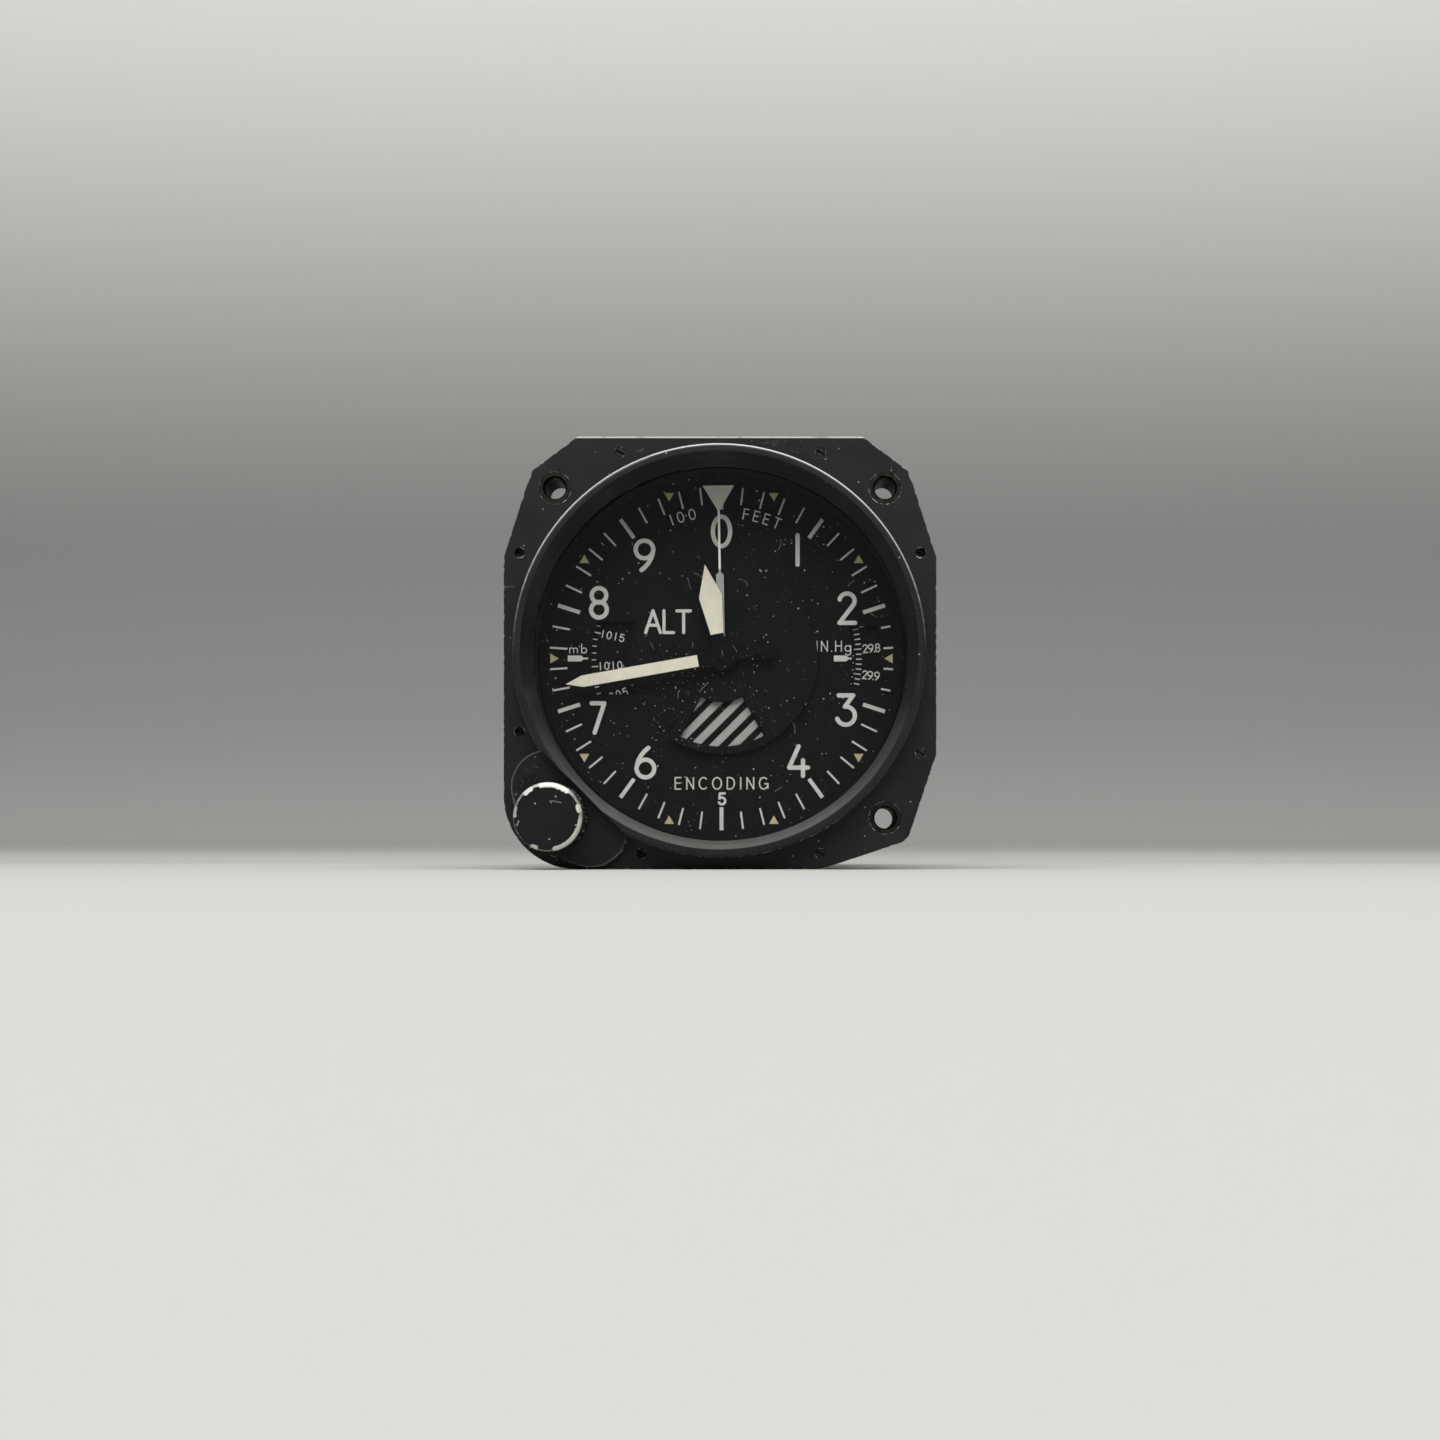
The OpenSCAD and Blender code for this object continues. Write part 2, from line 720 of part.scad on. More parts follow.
module low_altitude_stripes() {
    reach = 2 * flag_r[1];
    color("#d9d7cd") slab(dial_y - print_t, dial_y) intersection() {
        ring_sector(flag_r[0] - pass_gap, flag_r[1] + pass_gap, 270 - flag_half_angle, 270 + flag_half_angle);
        for (i = [1:stripes]) rotate(-stripe_lean) translate([stripe_offset + i * stripe_pitch, 0])
            square([stripe_w, reach], center = true);
    }
}

dial_screw_head_t = 0.5;
module dial_screws() {
    color("#6a6a6a") for (p = dial_screw_places)
        slotted_screw(p, dial_y - dial_screw_head_t, dial_screw_r + 0.6,
            dial_screw_head_t, dial_screw_r, front_plate_back - pass_gap - dial_y, screw_slot);
}

// Pointers, drawn along +X and turned to the altitude shown
hub_lip = 0.2;
tip_l = 3.3;
tail_l = 9;
tail_r = 2;
hundreds_hub_r = 2.6;
thousands_hub_r = 3;
shade_hub_r = 3.4;
// The fan starts this far before its window and spans enough to hide the stripes at full height
shade_lead_angle = 7;
shade_span_angle = 175;
thousands_widths = [[1.5, 2.4], [5, 2.6], [12, 4.55]];
line_w = 0.43;
strip_w = 1.5;
strip_shoulder_r = 16.2;
strip_tip_r = 16.8;
arrow_w = 6.15;
arrow_l = 5.15;

module pointer_hub(r, bore, y0) {
    tube(r, bore + run_gap, y0 - hub_lip, y0 + pointer_t + hub_lip);
}

module hundreds_pointer() {
    color("#cec8b7") difference() {
        union() {
            slab(hundreds_y, hundreds_y + pointer_t) rotate(hundreds_angle) {
                polygon([
                    [-tail_l, -hundreds_w / 2], [hundreds_l - tip_l, -hundreds_w / 2], [hundreds_l, 0],
                    [hundreds_l - tip_l, hundreds_w / 2], [-tail_l, hundreds_w / 2]
                ]);
                translate([-tail_l, 0]) circle(tail_r);
            }
            bar(hundreds_hub_r, hundreds_y - hub_lip, hundreds_y + pointer_t + hub_lip);
        }
        bar(arbor_r + run_gap, hundreds_y - 1, hundreds_y + 2);
    }
}

module thousands_pointer() {
    color("#cec8b7") difference() {
        union() {
            slab(thousands_y, thousands_y + pointer_t) rotate(thousands_angle) polygon([
                for (p = thousands_widths) [p.x, -p.y / 2], [thousands_l, 0],
                for (i = [2:-1:0]) [thousands_widths[i].x, thousands_widths[i].y / 2]
            ]);
            bar(thousands_hub_r, thousands_y - hub_lip, thousands_y + pointer_t + hub_lip);
        }
        bar(thousands_r + run_gap, thousands_y - 1, thousands_y + 2);
    }
}

module ten_thousands_pointer() {
    neck = ten_thousands_l - arrow_l;
    color("#7a7971") slab(ten_thousands_y, shade_y) rotate(ten_thousands_angle) difference() {
        union() {
            circle(shade_hub_r);
            polygon([
                [0, -strip_w / 2], [strip_shoulder_r, -strip_w / 2], [strip_tip_r, 0],
                [strip_shoulder_r, strip_w / 2], [0, strip_w / 2]
            ]);
            translate([strip_shoulder_r, -line_w / 2]) square([neck + line_w - strip_shoulder_r, line_w]);
            polygon([[neck, 0], [ten_thousands_l, -arrow_w / 2], [ten_thousands_l, arrow_w / 2]]);
        }
        circle(ten_thousands_r + run_gap);
    }
}

module ten_thousands_shade() {
    fan_start = 270 - flag_half_angle - shade_lead_angle;
    color("#18181a") difference() {
        union() {
            slab(shade_y, shade_back) rotate(ten_thousands_angle - 90) difference() {
                ring_sector(ten_thousands_r, shade_r, fan_start, fan_start + shade_span_angle);
                ring_sector(flag_r[0], flag_r[1], 270 - flag_half_angle, 270 + flag_half_angle);
            }
            bar(shade_hub_r, shade_y, shade_back + hub_lip);
        }
        bar(ten_thousands_r + run_gap, shade_y - 1, shade_back + 1);
    }
}

// Arbors and sleeves of the pointer train, each with its pinion cut on it
axis_at = [0, 0];
end_gap = 0.4;
module hundreds_arbor() {
    color("#b7b7ba") {
        bar(arbor_r, hundreds_y - hub_lip - end_gap, rear_plate_back + end_gap);
        pinion(pinion_teeth, first_module, axis_at, first_lay_at, layer(3));
        pinion(pinion_teeth, centre_module, axis_at, centre_at, layer(4));
    }
}

module thousands_sleeve() {
    front = thousands_y - hub_lip - end_gap / 2;
    color("#b08d4c") difference() {
        union() {
            bar(thousands_r, front, layer(2) + face_w + end_gap);
            pinion(pinion_teeth, first_module, axis_at, second_lay_at, layer(1));
        }
        bar(thousands_bore_r, front - 1, layer(3));
    }
}

module ten_thousands_sleeve() {
    front = ten_thousands_y - end_gap / 2;
    color("#b08d4c") tube(ten_thousands_r, ten_thousands_bore_r, front, layer(0) + face_w + end_gap / 2);
}

module first_lay_shaft() {
    color("#b7b7ba") {
        bar(lay_shaft_r, front_plate_y + end_gap, rear_plate_back - end_gap, first_lay_at);
        pinion(pinion_teeth, second_module, first_lay_at, axis_at, layer(2));
    }
}

module second_lay_shaft() {
    color("#b7b7ba") {
        bar(lay_shaft_r, front_plate_y + end_gap, rear_plate_back - end_gap, second_lay_at);
        pinion(pinion_teeth, second_module, second_lay_at, axis_at, layer(0));
    }
}

boss_l = 0.6;
boss_wall = 1.2;
module first_lay_wheel() {
    color("#c29b52") wheel(first_wheel_teeth, first_module, first_lay_at, axis_at, layer(3),
        lay_shaft_r + run_gap, lay_shaft_r + boss_wall, boss_l, 2);
}

module second_lay_wheel() {
    color("#c29b52") wheel(first_wheel_teeth, first_module, second_lay_at, axis_at, layer(1),
        lay_shaft_r + run_gap, lay_shaft_r + boss_wall, boss_l, 2);
}

module thousands_wheel() {
    color("#c29b52") wheel(second_wheel_teeth, second_module, axis_at, first_lay_at, layer(2),
        thousands_r + run_gap, thousands_r + boss_wall, 0, 2);
}

module ten_thousands_wheel() {
    color("#c29b52") wheel(second_wheel_teeth, second_module, axis_at, second_lay_at, layer(0),
        ten_thousands_r + run_gap, ten_thousands_r + boss_wall, 0, 2);
}

module centre_arbor() {
    color("#b7b7ba") {
        bar(centre_arbor_r, front_plate_y + end_gap, encoder_plate_back - end_gap, centre_at);
        pinion(pinion_teeth, sector_module, centre_at, rocking_at, sector_y);
        pinion(encoder_pinion_teeth, encoder_pair_module, centre_at, axis_at, encoder_gear_y);
    }
}

module centre_wheel() {
    color("#c29b52") wheel(centre_wheel_teeth, centre_module, centre_at, axis_at, layer(4),
        centre_arbor_r + run_gap, centre_arbor_r + boss_wall, boss_l, 3);
}

// Movement plates and pillars
bush_r = 3.6;
bush_l = 3;
module plate_shape(r, holes) {
    difference() {
        circle(r);
        for (h = holes) translate([h.x, h.y]) circle(h.z + run_gap);
    }
}

module front_plate() {
    lay_holes = [for (p = [first_lay_at, second_lay_at]) [p.x, p.y, lay_shaft_r]];
    screw_holes = [for (a = lug_angles) [each on_circle(lug_screw_at, a), lug_screw_r]];
    dial_holes = [for (p = dial_screw_places) [p.x, p.y, dial_screw_r]];
    color("#b9a15c") difference() {
        union() {
            slab(front_plate_y, front_plate_back) plate_shape(bore_r - 2 * pass_gap, [
                each lay_holes, each screw_holes, each dial_holes, [centre_at.x, centre_at.y, centre_arbor_r]
            ]);
            bar(bush_r, front_plate_y - bush_l, front_plate_back);
        }
        bar(ten_thousands_r + run_gap, front_plate_y - bush_l - 1, front_plate_back + 1);
    }
}

module rear_plate() {
    lay_holes = [for (p = [first_lay_at, second_lay_at]) [p.x, p.y, lay_shaft_r]];
    color("#b9a15c") slab(rear_plate_y, rear_plate_back) plate_shape(movement_r, [
        each lay_holes, [0, 0, arbor_r], [centre_at.x, centre_at.y, centre_arbor_r],
        [rocking_at.x, rocking_at.y, rocking_shaft_r]
    ]);
}

module plate_pillars() {
    color("#a9a9ab") for (p = pillar_places) bar(pillar_r, front_plate_back, rear_plate_y, p);
}

module long_pillars() {
    color("#a9a9ab") for (p = pillar_places) bar(pillar_r, rear_plate_back, encoder_plate_y, p);
}

module board_standoffs() {
    color("#a9a9ab") for (p = pillar_places) bar(pillar_r, encoder_plate_back, board_y, p);
}

lug_screw_head_t = 1.2;
module mechanism_screws() {
    color("#6a6a6a") for (a = lug_angles)
        slotted_screw(on_circle(lug_screw_at, a), front_plate_y - lug_screw_head_t, lug_screw_r + 0.7,
            lug_screw_head_t, lug_screw_r, movement_plate_t + lug_l - end_gap, screw_slot);
}

// Pressure capsules, the link and the rocking shaft
capsule_neck_r = 4;
capsule_rim = 1.5;
module aneroid_capsules() {
    h = capsule_stack_h / capsule_count;
    color("#c3a35e") translate([0, capsule_y, capsule_base_z]) rotate_extrude() polygon([
        [0, 0],
        for (i = [0:capsule_count - 1], p = [
            [capsule_neck_r, 0], [capsule_neck_r, 0.08], [capsule_r - capsule_rim, 0.36], [capsule_r, 0.42],
            [capsule_r, 0.58], [capsule_r - capsule_rim, 0.64], [capsule_neck_r, 0.92], [capsule_neck_r, 1]
        ]) [p.x, (i + p.y) * h],
        [0, capsule_stack_h]
    ]);
}

link_foot_r = 2.4;
link_foot_t = 1;
link_t = 0.9;
link_side = 2;
slot_room = 0.2;
slot_reach = 0.8;
arm_t = 1.2;
link_y = capsule_y - arm_t / 2 - pass_gap - link_t;
module capsule_link() {
    slot_r = arm_pin_r + slot_room;
    top = arm_pin_at.y + slot_r + 1;
    color("#b7b7ba") {
        translate([0, capsule_y, capsule_top_z]) cylinder(r = link_foot_r, h = link_foot_t);
        slab(link_y, link_y + link_t) difference() {
            translate([-link_side, capsule_top_z]) square([2 * link_side, top - capsule_top_z]);
            stadium(arm_pin_at - [slot_reach, 0], arm_pin_at + [slot_reach / 2, 0], slot_r);
        }
    }
}

arm_hub_r = 2;
arm_end_r = 0.9;
pin_l = 1.6;
module rocking_arm() {
    front = capsule_y - arm_t / 2;
    color("#b7b7ba") difference() {
        union() {
            slab(front, front + arm_t) {
                stadium(arm_pin_at, rocking_at, arm_end_r);
                translate(rocking_at) circle(arm_hub_r);
            }
            bar(arm_pin_r, front - pin_l, front, arm_pin_at);
        }
        bar(rocking_shaft_r + run_gap, front - 1, front + arm_t + 1, rocking_at);
    }
}

module rocking_shaft() {
    color("#a3a3a6") bar(rocking_shaft_r, rear_plate_y + end_gap, lug_y + bracket_t - end_gap, rocking_at);
}

sector_hub_r = 3;
sector_rim = 2.6;
module sector_gear() {
    pitch_r = sector_module * sector_teeth / 2;
    step = 360 / sector_teeth;
    inner = pitch_r - sector_rim;
    low = sector_angle - sector_cut_low * step;
    high = sector_angle + sector_cut_high * step;
    arm_angles = [low + 2 * step, high - 2 * step];
    color("#c29b52") difference() {
        slab(sector_y, sector_y + face_w) translate(rocking_at) {
            polygon([
                for (i = [-sector_cut_low:sector_cut_high])
                    each tooth(sector_teeth, sector_module, sector_angle + i * step),
                for (i = [sector_cut_high:-1:-sector_cut_low]) on_circle(inner, sector_angle + i * step)
            ]);
            circle(sector_hub_r);
            for (a = arm_angles) stadium([0, 0], on_circle(inner + 1, a), 0.9);
        }
        bar(rocking_shaft_r + run_gap, sector_y - 1, sector_y + face_w + 1, rocking_at);
    }
}

bracket_tab_h = 11;
bracket_eye_r = 3;
module capsule_bracket() {
    foot_z = capsule_base_z - bracket_t;
    color("#9c9c9e") difference() {
        union() {
            translate([-bracket_half, bracket_y, foot_z])
                cube([2 * bracket_half, lug_y + bracket_t - bracket_y, bracket_t]);
            translate([-bracket_half, bracket_y, foot_z]) cube([2 * bracket_half, bracket_t, bracket_tab_h]);
            slab(lug_y, lug_y + bracket_t) {
                translate(rocking_at) circle(bracket_eye_r);
                polygon([
                    [-bracket_half, foot_z], [bracket_half, foot_z], rocking_at + [bracket_eye_r, 0],
                    rocking_at - [bracket_eye_r, 0]
                ]);
            }
        }
        bar(rocking_shaft_r + run_gap, lug_y - 1, lug_y + bracket_t + 1, rocking_at);
    }
}

// Altitude encoder
encoder_shaft_r = 1;
code_hub_r = 4;
code_hub_l = 2;
module encoder_plate() {
    color("#b9a15c") slab(encoder_plate_y, encoder_plate_back) plate_shape(movement_r, [
        [0, 0, encoder_shaft_r], [centre_at.x, centre_at.y, centre_arbor_r]
    ]);
}

module encoder_shaft() {
    color("#b7b7ba") bar(encoder_shaft_r, encoder_gear_y - end_gap, bridge_y + movement_plate_t - end_gap);
}

module encoder_wheel() {
    color("#c29b52") wheel(encoder_wheel_teeth, encoder_pair_module, axis_at, centre_at, encoder_gear_y,
        encoder_shaft_r + run_gap, encoder_shaft_r + boss_wall, boss_l, 3);
}

module encoder_disc() {
    slots = 16;
    track_r = code_disc_r - 3.5;
    slot_w = 2;
    slot_l = 2.4;
    color("#3a3a3c") difference() {
        union() {
            bar(code_disc_r, code_disc_y, code_disc_y + code_disc_t);
            bar(code_hub_r, code_disc_y - code_hub_l, code_disc_y);
        }
        bar(encoder_shaft_r + run_gap, code_disc_y - code_hub_l - 1, code_disc_y + 2);
        slab(code_disc_y - 1, code_disc_y + 2) for (i = [0:slots - 1])
            rotate(360 * i / slots) translate([track_r, -slot_w / 2]) square([slot_l, slot_w]);
    }
}

head_half = 8;
head_depth = 9;
head_edge = 1.1;
head_low = code_disc_r - head_depth;
head_high = movement_r - head_edge;
head_l = 7.6;
module encoder_head() {
    slot_low = code_disc_y - 3 * pass_gap;
    slot_high = code_disc_y + code_disc_t + 3 * pass_gap;
    color("#2c2f33") difference() {
        translate([-head_half, encoder_plate_back, head_low])
            cube([2 * head_half, head_l, head_high - head_low]);
        translate([-head_half - 1, slot_low, head_low - 1])
            cube([2 * head_half + 2, slot_high - slot_low, code_disc_r + layer_gap - head_low + 1]);
    }
}

bridge_post_r = 2;
bridge_half = code_disc_r + bridge_post_r + layer_gap;
module encoder_bridge() {
    color("#b9a15c") difference() {
        union() {
            slab(bridge_y, bridge_y + movement_plate_t)
                stadium([-bridge_half, 0], [bridge_half, 0], code_hub_r - layer_gap);
            for (s = [-1, 1]) bar(bridge_post_r, encoder_plate_back, bridge_y, [s * bridge_half, 0]);
        }
        bar(encoder_shaft_r + run_gap, bridge_y - 1, bridge_y + movement_plate_t + 1);
    }
}

module encoder_board() {
    pin_holes = [for (p = pin_places) [p.x, p.y, pin_r]];
    color("#2f5a35") slab(board_y, board_y + board_t) plate_shape(movement_r, pin_holes);
}

chip_t = 3;
chip_w = 8;
chip_l = 20;
chip_pitch = 12;
can_r = 4;
can_l = 11;
module board_chips() {
    color("#1d1d1f") {
        for (i = [-1:0]) translate([-chip_l / 2, board_y - chip_t, i * chip_pitch - chip_w / 2])
            cube([chip_l, chip_t, chip_w]);
        for (s = [-1, 1]) bar(can_r, board_y - can_l, board_y, [s * chip_l, 0]);
    }
}

// Rear connector and static port
shell_w = 24.6;
shell_h = 8.2;
shell_r = 2;
shell_lean = 0.75;
shell_t = 0.6;
shell_l = 6;
shell_flange_w = 39.2;
shell_flange_h = 12.5;
shell_flange_t = 1;
jack_spacing = 33.3;
jack_r = 1.5;
jack_hex_r = 2.7;
jack_l = 4.8;
jack_thread_r = 1;
jack_stub = 3;
pin_r = 0.5;
pin_pitch = 2.77;
pin_rows = 2.84;
pin_recess = 0.8;
insulator_l = 7;
pin_places = [
    for (i = [0:7]) connector_at + [(i - 3.5) * pin_pitch, pin_rows / 2],
    for (i = [0:6]) connector_at + [(i - 3) * pin_pitch, -pin_rows / 2]
];
shell_front = case_l + shell_flange_t;
shell_end = shell_front + shell_l;
insulator_end = case_l + shell_flange_t;

// Round-cornered D outline, larger by grow than the inside of the shell
module d_outline(grow) {
    x = shell_w / 2 - shell_r;
    z = shell_h / 2 - shell_r;
    corners = [[x, z], [-x, z], [shell_lean - x, -z], [x - shell_lean, -z]];
    for (i = [0:3]) stadium(corners[i], corners[(i + 1) % 4], shell_r + grow);
    polygon(corners);
}

module connector_shell() {
    color("#b4b4b6") union() {
        slab(case_l, shell_front) translate(connector_at) difference() {
            square([shell_flange_w, shell_flange_h], center = true);
            d_outline(run_gap);
            for (s = [-1, 1]) translate([s * jack_spacing / 2, 0]) circle(jack_r + run_gap);
        }
        slab(shell_front, shell_end) translate(connector_at) difference() {
            d_outline(run_gap + shell_t);
            d_outline(run_gap);
        }
    }
}

module connector_insulator() {
    color("#20242a") slab(case_l - insulator_l, insulator_end) difference() {
        translate(connector_at) d_outline(0);
        for (p = pin_places) translate(p) circle(pin_r + run_gap);
    }
}

module connector_pins() {
    color("#c9a24d") for (p = pin_places) bar(pin_r, board_y - pin_recess, shell_end - pin_recess, p);
}

module jack_posts() {
    color("#aeb0b2") for (s = [-1, 1]) {
        at = connector_at + [s * jack_spacing / 2, 0];
        difference() {
            union() {
                translate([at.x, shell_front, at.y]) rotate([-90, 0, 0])
                    cylinder(r = jack_hex_r, h = jack_l, $fn = 6);
                bar(jack_r, case_l - rear_wall - jack_stub, shell_front, at);
            }
            bar(jack_thread_r, shell_front, shell_front + jack_l + 1, at);
        }
    }
}

port_flange_r = 9;
port_flange_t = 3;
port_body_r = 7;
port_l = 11;
port_thread_l = 9;
port_hole_r = 1.5;
port_neck_l = 5;
module static_port() {
    port_end = case_l + port_l;
    thread_end = port_end - port_thread_l;
    inner = case_l - port_neck_l;
    color("#a7a294") turned(port_at) polygon([
        [port_hole_r, inner], [port_neck_r, inner], [port_neck_r, case_l], [port_flange_r, case_l],
        [port_flange_r, case_l + port_flange_t], [port_body_r, case_l + port_flange_t], [port_body_r, port_end],
        [port_bore / 2, port_end], [port_bore / 2, thread_end], [port_hole_r, thread_end]
    ]);
}

front_bezel();
bezel_gasket();
panel_inserts();
bezel_screws();
glass_gasket();
cover_glass();
glass_retainer();
case_body();
setting_knob();
knob_set_screw();
knob_shaft();
knob_clip();
baro_ring_gear();
baro_disc();
baro_hub();
dial_plate();
dial_marks();
low_altitude_stripes();
dial_screws();
hundreds_pointer();
thousands_pointer();
ten_thousands_pointer();
ten_thousands_shade();
hundreds_arbor();
thousands_sleeve();
ten_thousands_sleeve();
first_lay_shaft();
first_lay_wheel();
thousands_wheel();
second_lay_shaft();
second_lay_wheel();
ten_thousands_wheel();
front_plate();
rear_plate();
plate_pillars();
mechanism_screws();
centre_arbor();
centre_wheel();
rocking_shaft();
sector_gear();
rocking_arm();
capsule_link();
aneroid_capsules();
capsule_bracket();
long_pillars();
encoder_plate();
encoder_shaft();
encoder_wheel();
encoder_disc();
encoder_head();
encoder_bridge();
board_standoffs();
encoder_board();
board_chips();
static_port();
connector_shell();
connector_insulator();
connector_pins();
jack_posts();
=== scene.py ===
"""Dressing of the panel altimeter, laid out as an add-on.

It loads the packed solids as a fixed frame in metres, gives each one its finish, prints the dial and the
setting scales, lays scuffs on the bezel and dust on the glass, and sets the stage.  X is right, Z is up and
Y runs to the rear.
"""

import math
import random

import bmesh
import bpy
from bpy.props import FloatProperty, FloatVectorProperty, IntProperty, PointerProperty
from bpy.types import NodeSocket, Operator, Panel, PropertyGroup
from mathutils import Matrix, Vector


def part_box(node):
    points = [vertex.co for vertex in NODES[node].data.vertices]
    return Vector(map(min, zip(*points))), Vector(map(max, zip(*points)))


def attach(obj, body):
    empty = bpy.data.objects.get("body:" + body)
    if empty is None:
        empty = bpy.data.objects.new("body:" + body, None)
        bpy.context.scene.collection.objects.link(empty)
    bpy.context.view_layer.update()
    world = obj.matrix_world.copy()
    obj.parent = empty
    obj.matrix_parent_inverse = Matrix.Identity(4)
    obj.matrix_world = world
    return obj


bl_info = {
    "name": "Panel altimeter dressing",
    "version": (1, 0, 0),
    "blender": (4, 5, 0),
    "location": "View3D > Sidebar > Altimeter",
    "description": "Finishes, printed dial, dust and stage for the packed altimeter",
    "category": "Object",
}

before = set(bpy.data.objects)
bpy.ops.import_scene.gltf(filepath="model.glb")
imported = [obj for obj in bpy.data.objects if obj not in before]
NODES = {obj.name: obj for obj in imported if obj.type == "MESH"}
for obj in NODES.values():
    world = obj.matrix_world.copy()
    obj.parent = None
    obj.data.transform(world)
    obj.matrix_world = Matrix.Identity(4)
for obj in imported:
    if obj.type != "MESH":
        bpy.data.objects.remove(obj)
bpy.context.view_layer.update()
MM = 0.001
DIAL_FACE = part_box("dial_plate")[0].y
SCALE_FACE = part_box("baro_disc")[0].y
GLASS_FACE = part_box("cover_glass")[0].y
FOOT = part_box("front_bezel")[0].z
KNOB_LOW, KNOB_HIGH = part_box("setting_knob")
KNOB_AXIS = (KNOB_LOW + KNOB_HIGH) / 2
RING_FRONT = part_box("front_bezel")[0].y
BEZEL_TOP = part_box("front_bezel")[1].z
KNOB_RADIUS = (KNOB_HIGH.x - KNOB_LOW.x) / 2
KNOB_GAP = 0.6 * MM  # between the knob's back and its pad
PAD_FACE = KNOB_HIGH.y + KNOB_GAP
FINE_RELIEF = 0.02 * MM  # depth of a fine grain

# Middles of the pad's two round ends from the knob's axis, to the right and up, in millimetres
PAD_UPPER_END = (-1.2, 5.9)
PAD_LOWER_END = (6.9, -2.4)


def srgb(*channels):
    """Linear colour of an 8-bit display colour."""
    shares = (channel / 255 for channel in channels)
    return tuple(((c + 0.055) / 1.055) ** 2.4 if c > 0.04045 else c / 12.92 for c in shares)


def colour_prop(name, description, colour):
    """A colour that a user may change."""
    return FloatVectorProperty(
        name=name, description=description, default=colour, subtype="COLOR", size=3, min=0, max=1
    )


def length_prop(name, description, millimetres):
    """A length that a user may change."""
    return FloatProperty(
        name=name, description=description, default=millimetres * MM, unit="LENGTH", min=0, precision=5
    )


def power_prop(name, description, watts):
    """A lamp's power that a user may change."""
    return FloatProperty(name=name, description=description, default=watts, min=0, unit="POWER")


class AltimeterFinish(PropertyGroup):
    """Colours and wear of the instrument's finishes."""

    bezel: colour_prop("Bezel paint", "Satin black of the bezel", srgb(28, 28, 29))
    case: colour_prop("Case paint", "Black of the case behind the panel", srgb(34, 34, 35))
    knob: colour_prop("Knob", "Black of the setting knob", srgb(21, 22, 24))
    bare_metal: colour_prop("Bare metal", "Alloy that shows where black is worn off", srgb(240, 238, 230))
    dial: colour_prop("Dial", "Matt black of the dial and the scale disc", srgb(11, 11, 13))
    print_white: colour_prop("White print", "Numerals and ticks", srgb(209, 208, 202))
    print_tan: colour_prop("Tan print", "Triangles round the dial", srgb(194, 184, 140))
    print_cream: colour_prop("Cream print", "Word below the middle", srgb(212, 207, 190))
    pointer: colour_prop("Pointer", "Cream white of the pointers", srgb(231, 225, 206))
    # Whiter than the other pointers' paint: painted light that makes up for the ring's shade over the top of
    # the dial
    arrow: colour_prop("Ten thousands pointer", "White of the longest pointer", srgb(246, 244, 234))
    # Also the painted shade on the inner strip of the longest pointer
    stripes: colour_prop("Stripes", "Grey of the low altitude stripes", srgb(166, 166, 161))
    # Grey of the ring's polished edge, made light as a painted highlight of the light from above
    rubbed: colour_prop("Rubbed paint", "Paint polished grey round the ring", srgb(208, 208, 206))
    # Also the colour of the painted highlight along the pad's upper edge, and of chips and thin paint
    # elsewhere
    pad_edge: colour_prop("Pad edge", "Thin paint on the edge of the knob's pad", srgb(96, 96, 97))
    # Also the colour of the painted sheen on the bezel's upward faces and of the painted highlight on the
    # flange's top edge
    dust: colour_prop("Dust", "Dust on upward faces and on the glass", srgb(206, 204, 197))
    edge_width: length_prop("Wear width", "How far the wear reaches in from an edge", 0.28)
    # On the bezel this film is dust and a painted sheen of the light from above
    dust_amount: FloatProperty(
        name="Dust", description="Dust on upward faces", default=0.22, min=0, max=1, subtype="FACTOR"
    )


class AltimeterPrint(PropertyGroup):
    """Sizes of what is printed on the dial."""

    numeral_height: length_prop("Numeral height", "Height of the large numerals", 6.6)
    numeral_stroke: length_prop("Numeral stroke", "Pen width of the large numerals", 0.84)
    relief: length_prop("Relief", "How far the ink stands proud", 0.03)
    triangle_radius: length_prop("Triangle radius", "Radius of the triangles' middles", 33.2)
    specks: IntProperty(name="Specks", description="Dust specks on the glass", default=1000, min=0, max=2000)
    hairs: IntProperty(name="Hairs", description="Fibres on the glass", default=16, min=0, max=100)
    seed: IntProperty(name="Seed", description="Seed of the dust", default=41, min=0)


class AltimeterStage(PropertyGroup):
    """Camera, light and floor."""

    lens: FloatProperty(
        name="Lens", description="Focal length", default=52.5, min=10, subtype="DISTANCE_CAMERA"
    )
    overhead: power_prop("Overhead", "Overhead light", 5.5)
    front: power_prop("Front", "Light from the camera's side", 7.2)
    floor: colour_prop("Floor", "Pale floor", srgb(197, 198, 193))
    # The backdrop's colours are painted light and shade: darkest low down, lighter at the foot, pale at the
    # top
    wall_foot: colour_prop("Foot of the backdrop", "Backdrop where it leaves the floor", srgb(156, 156, 154))
    wall_low: colour_prop("Low backdrop", "Darkest part of the backdrop", srgb(143, 144, 142))
    wall_high: colour_prop("High backdrop", "Backdrop at the top", srgb(229, 230, 226))


def wire(tree, node, inputs):
    """Sets a node's inputs, or links them where a value is a socket."""
    for key, value in inputs.items():
        if isinstance(value, NodeSocket):
            tree.links.new(value, node.inputs[key])
        else:
            node.inputs[key].default_value = value


def add(tree, kind, inputs=None, **settings):
    """A new node with its settings and inputs."""
    node = tree.nodes.new(kind)
    for key, value in settings.items():
        setattr(node, key, value)
    wire(tree, node, inputs or {})
    return node


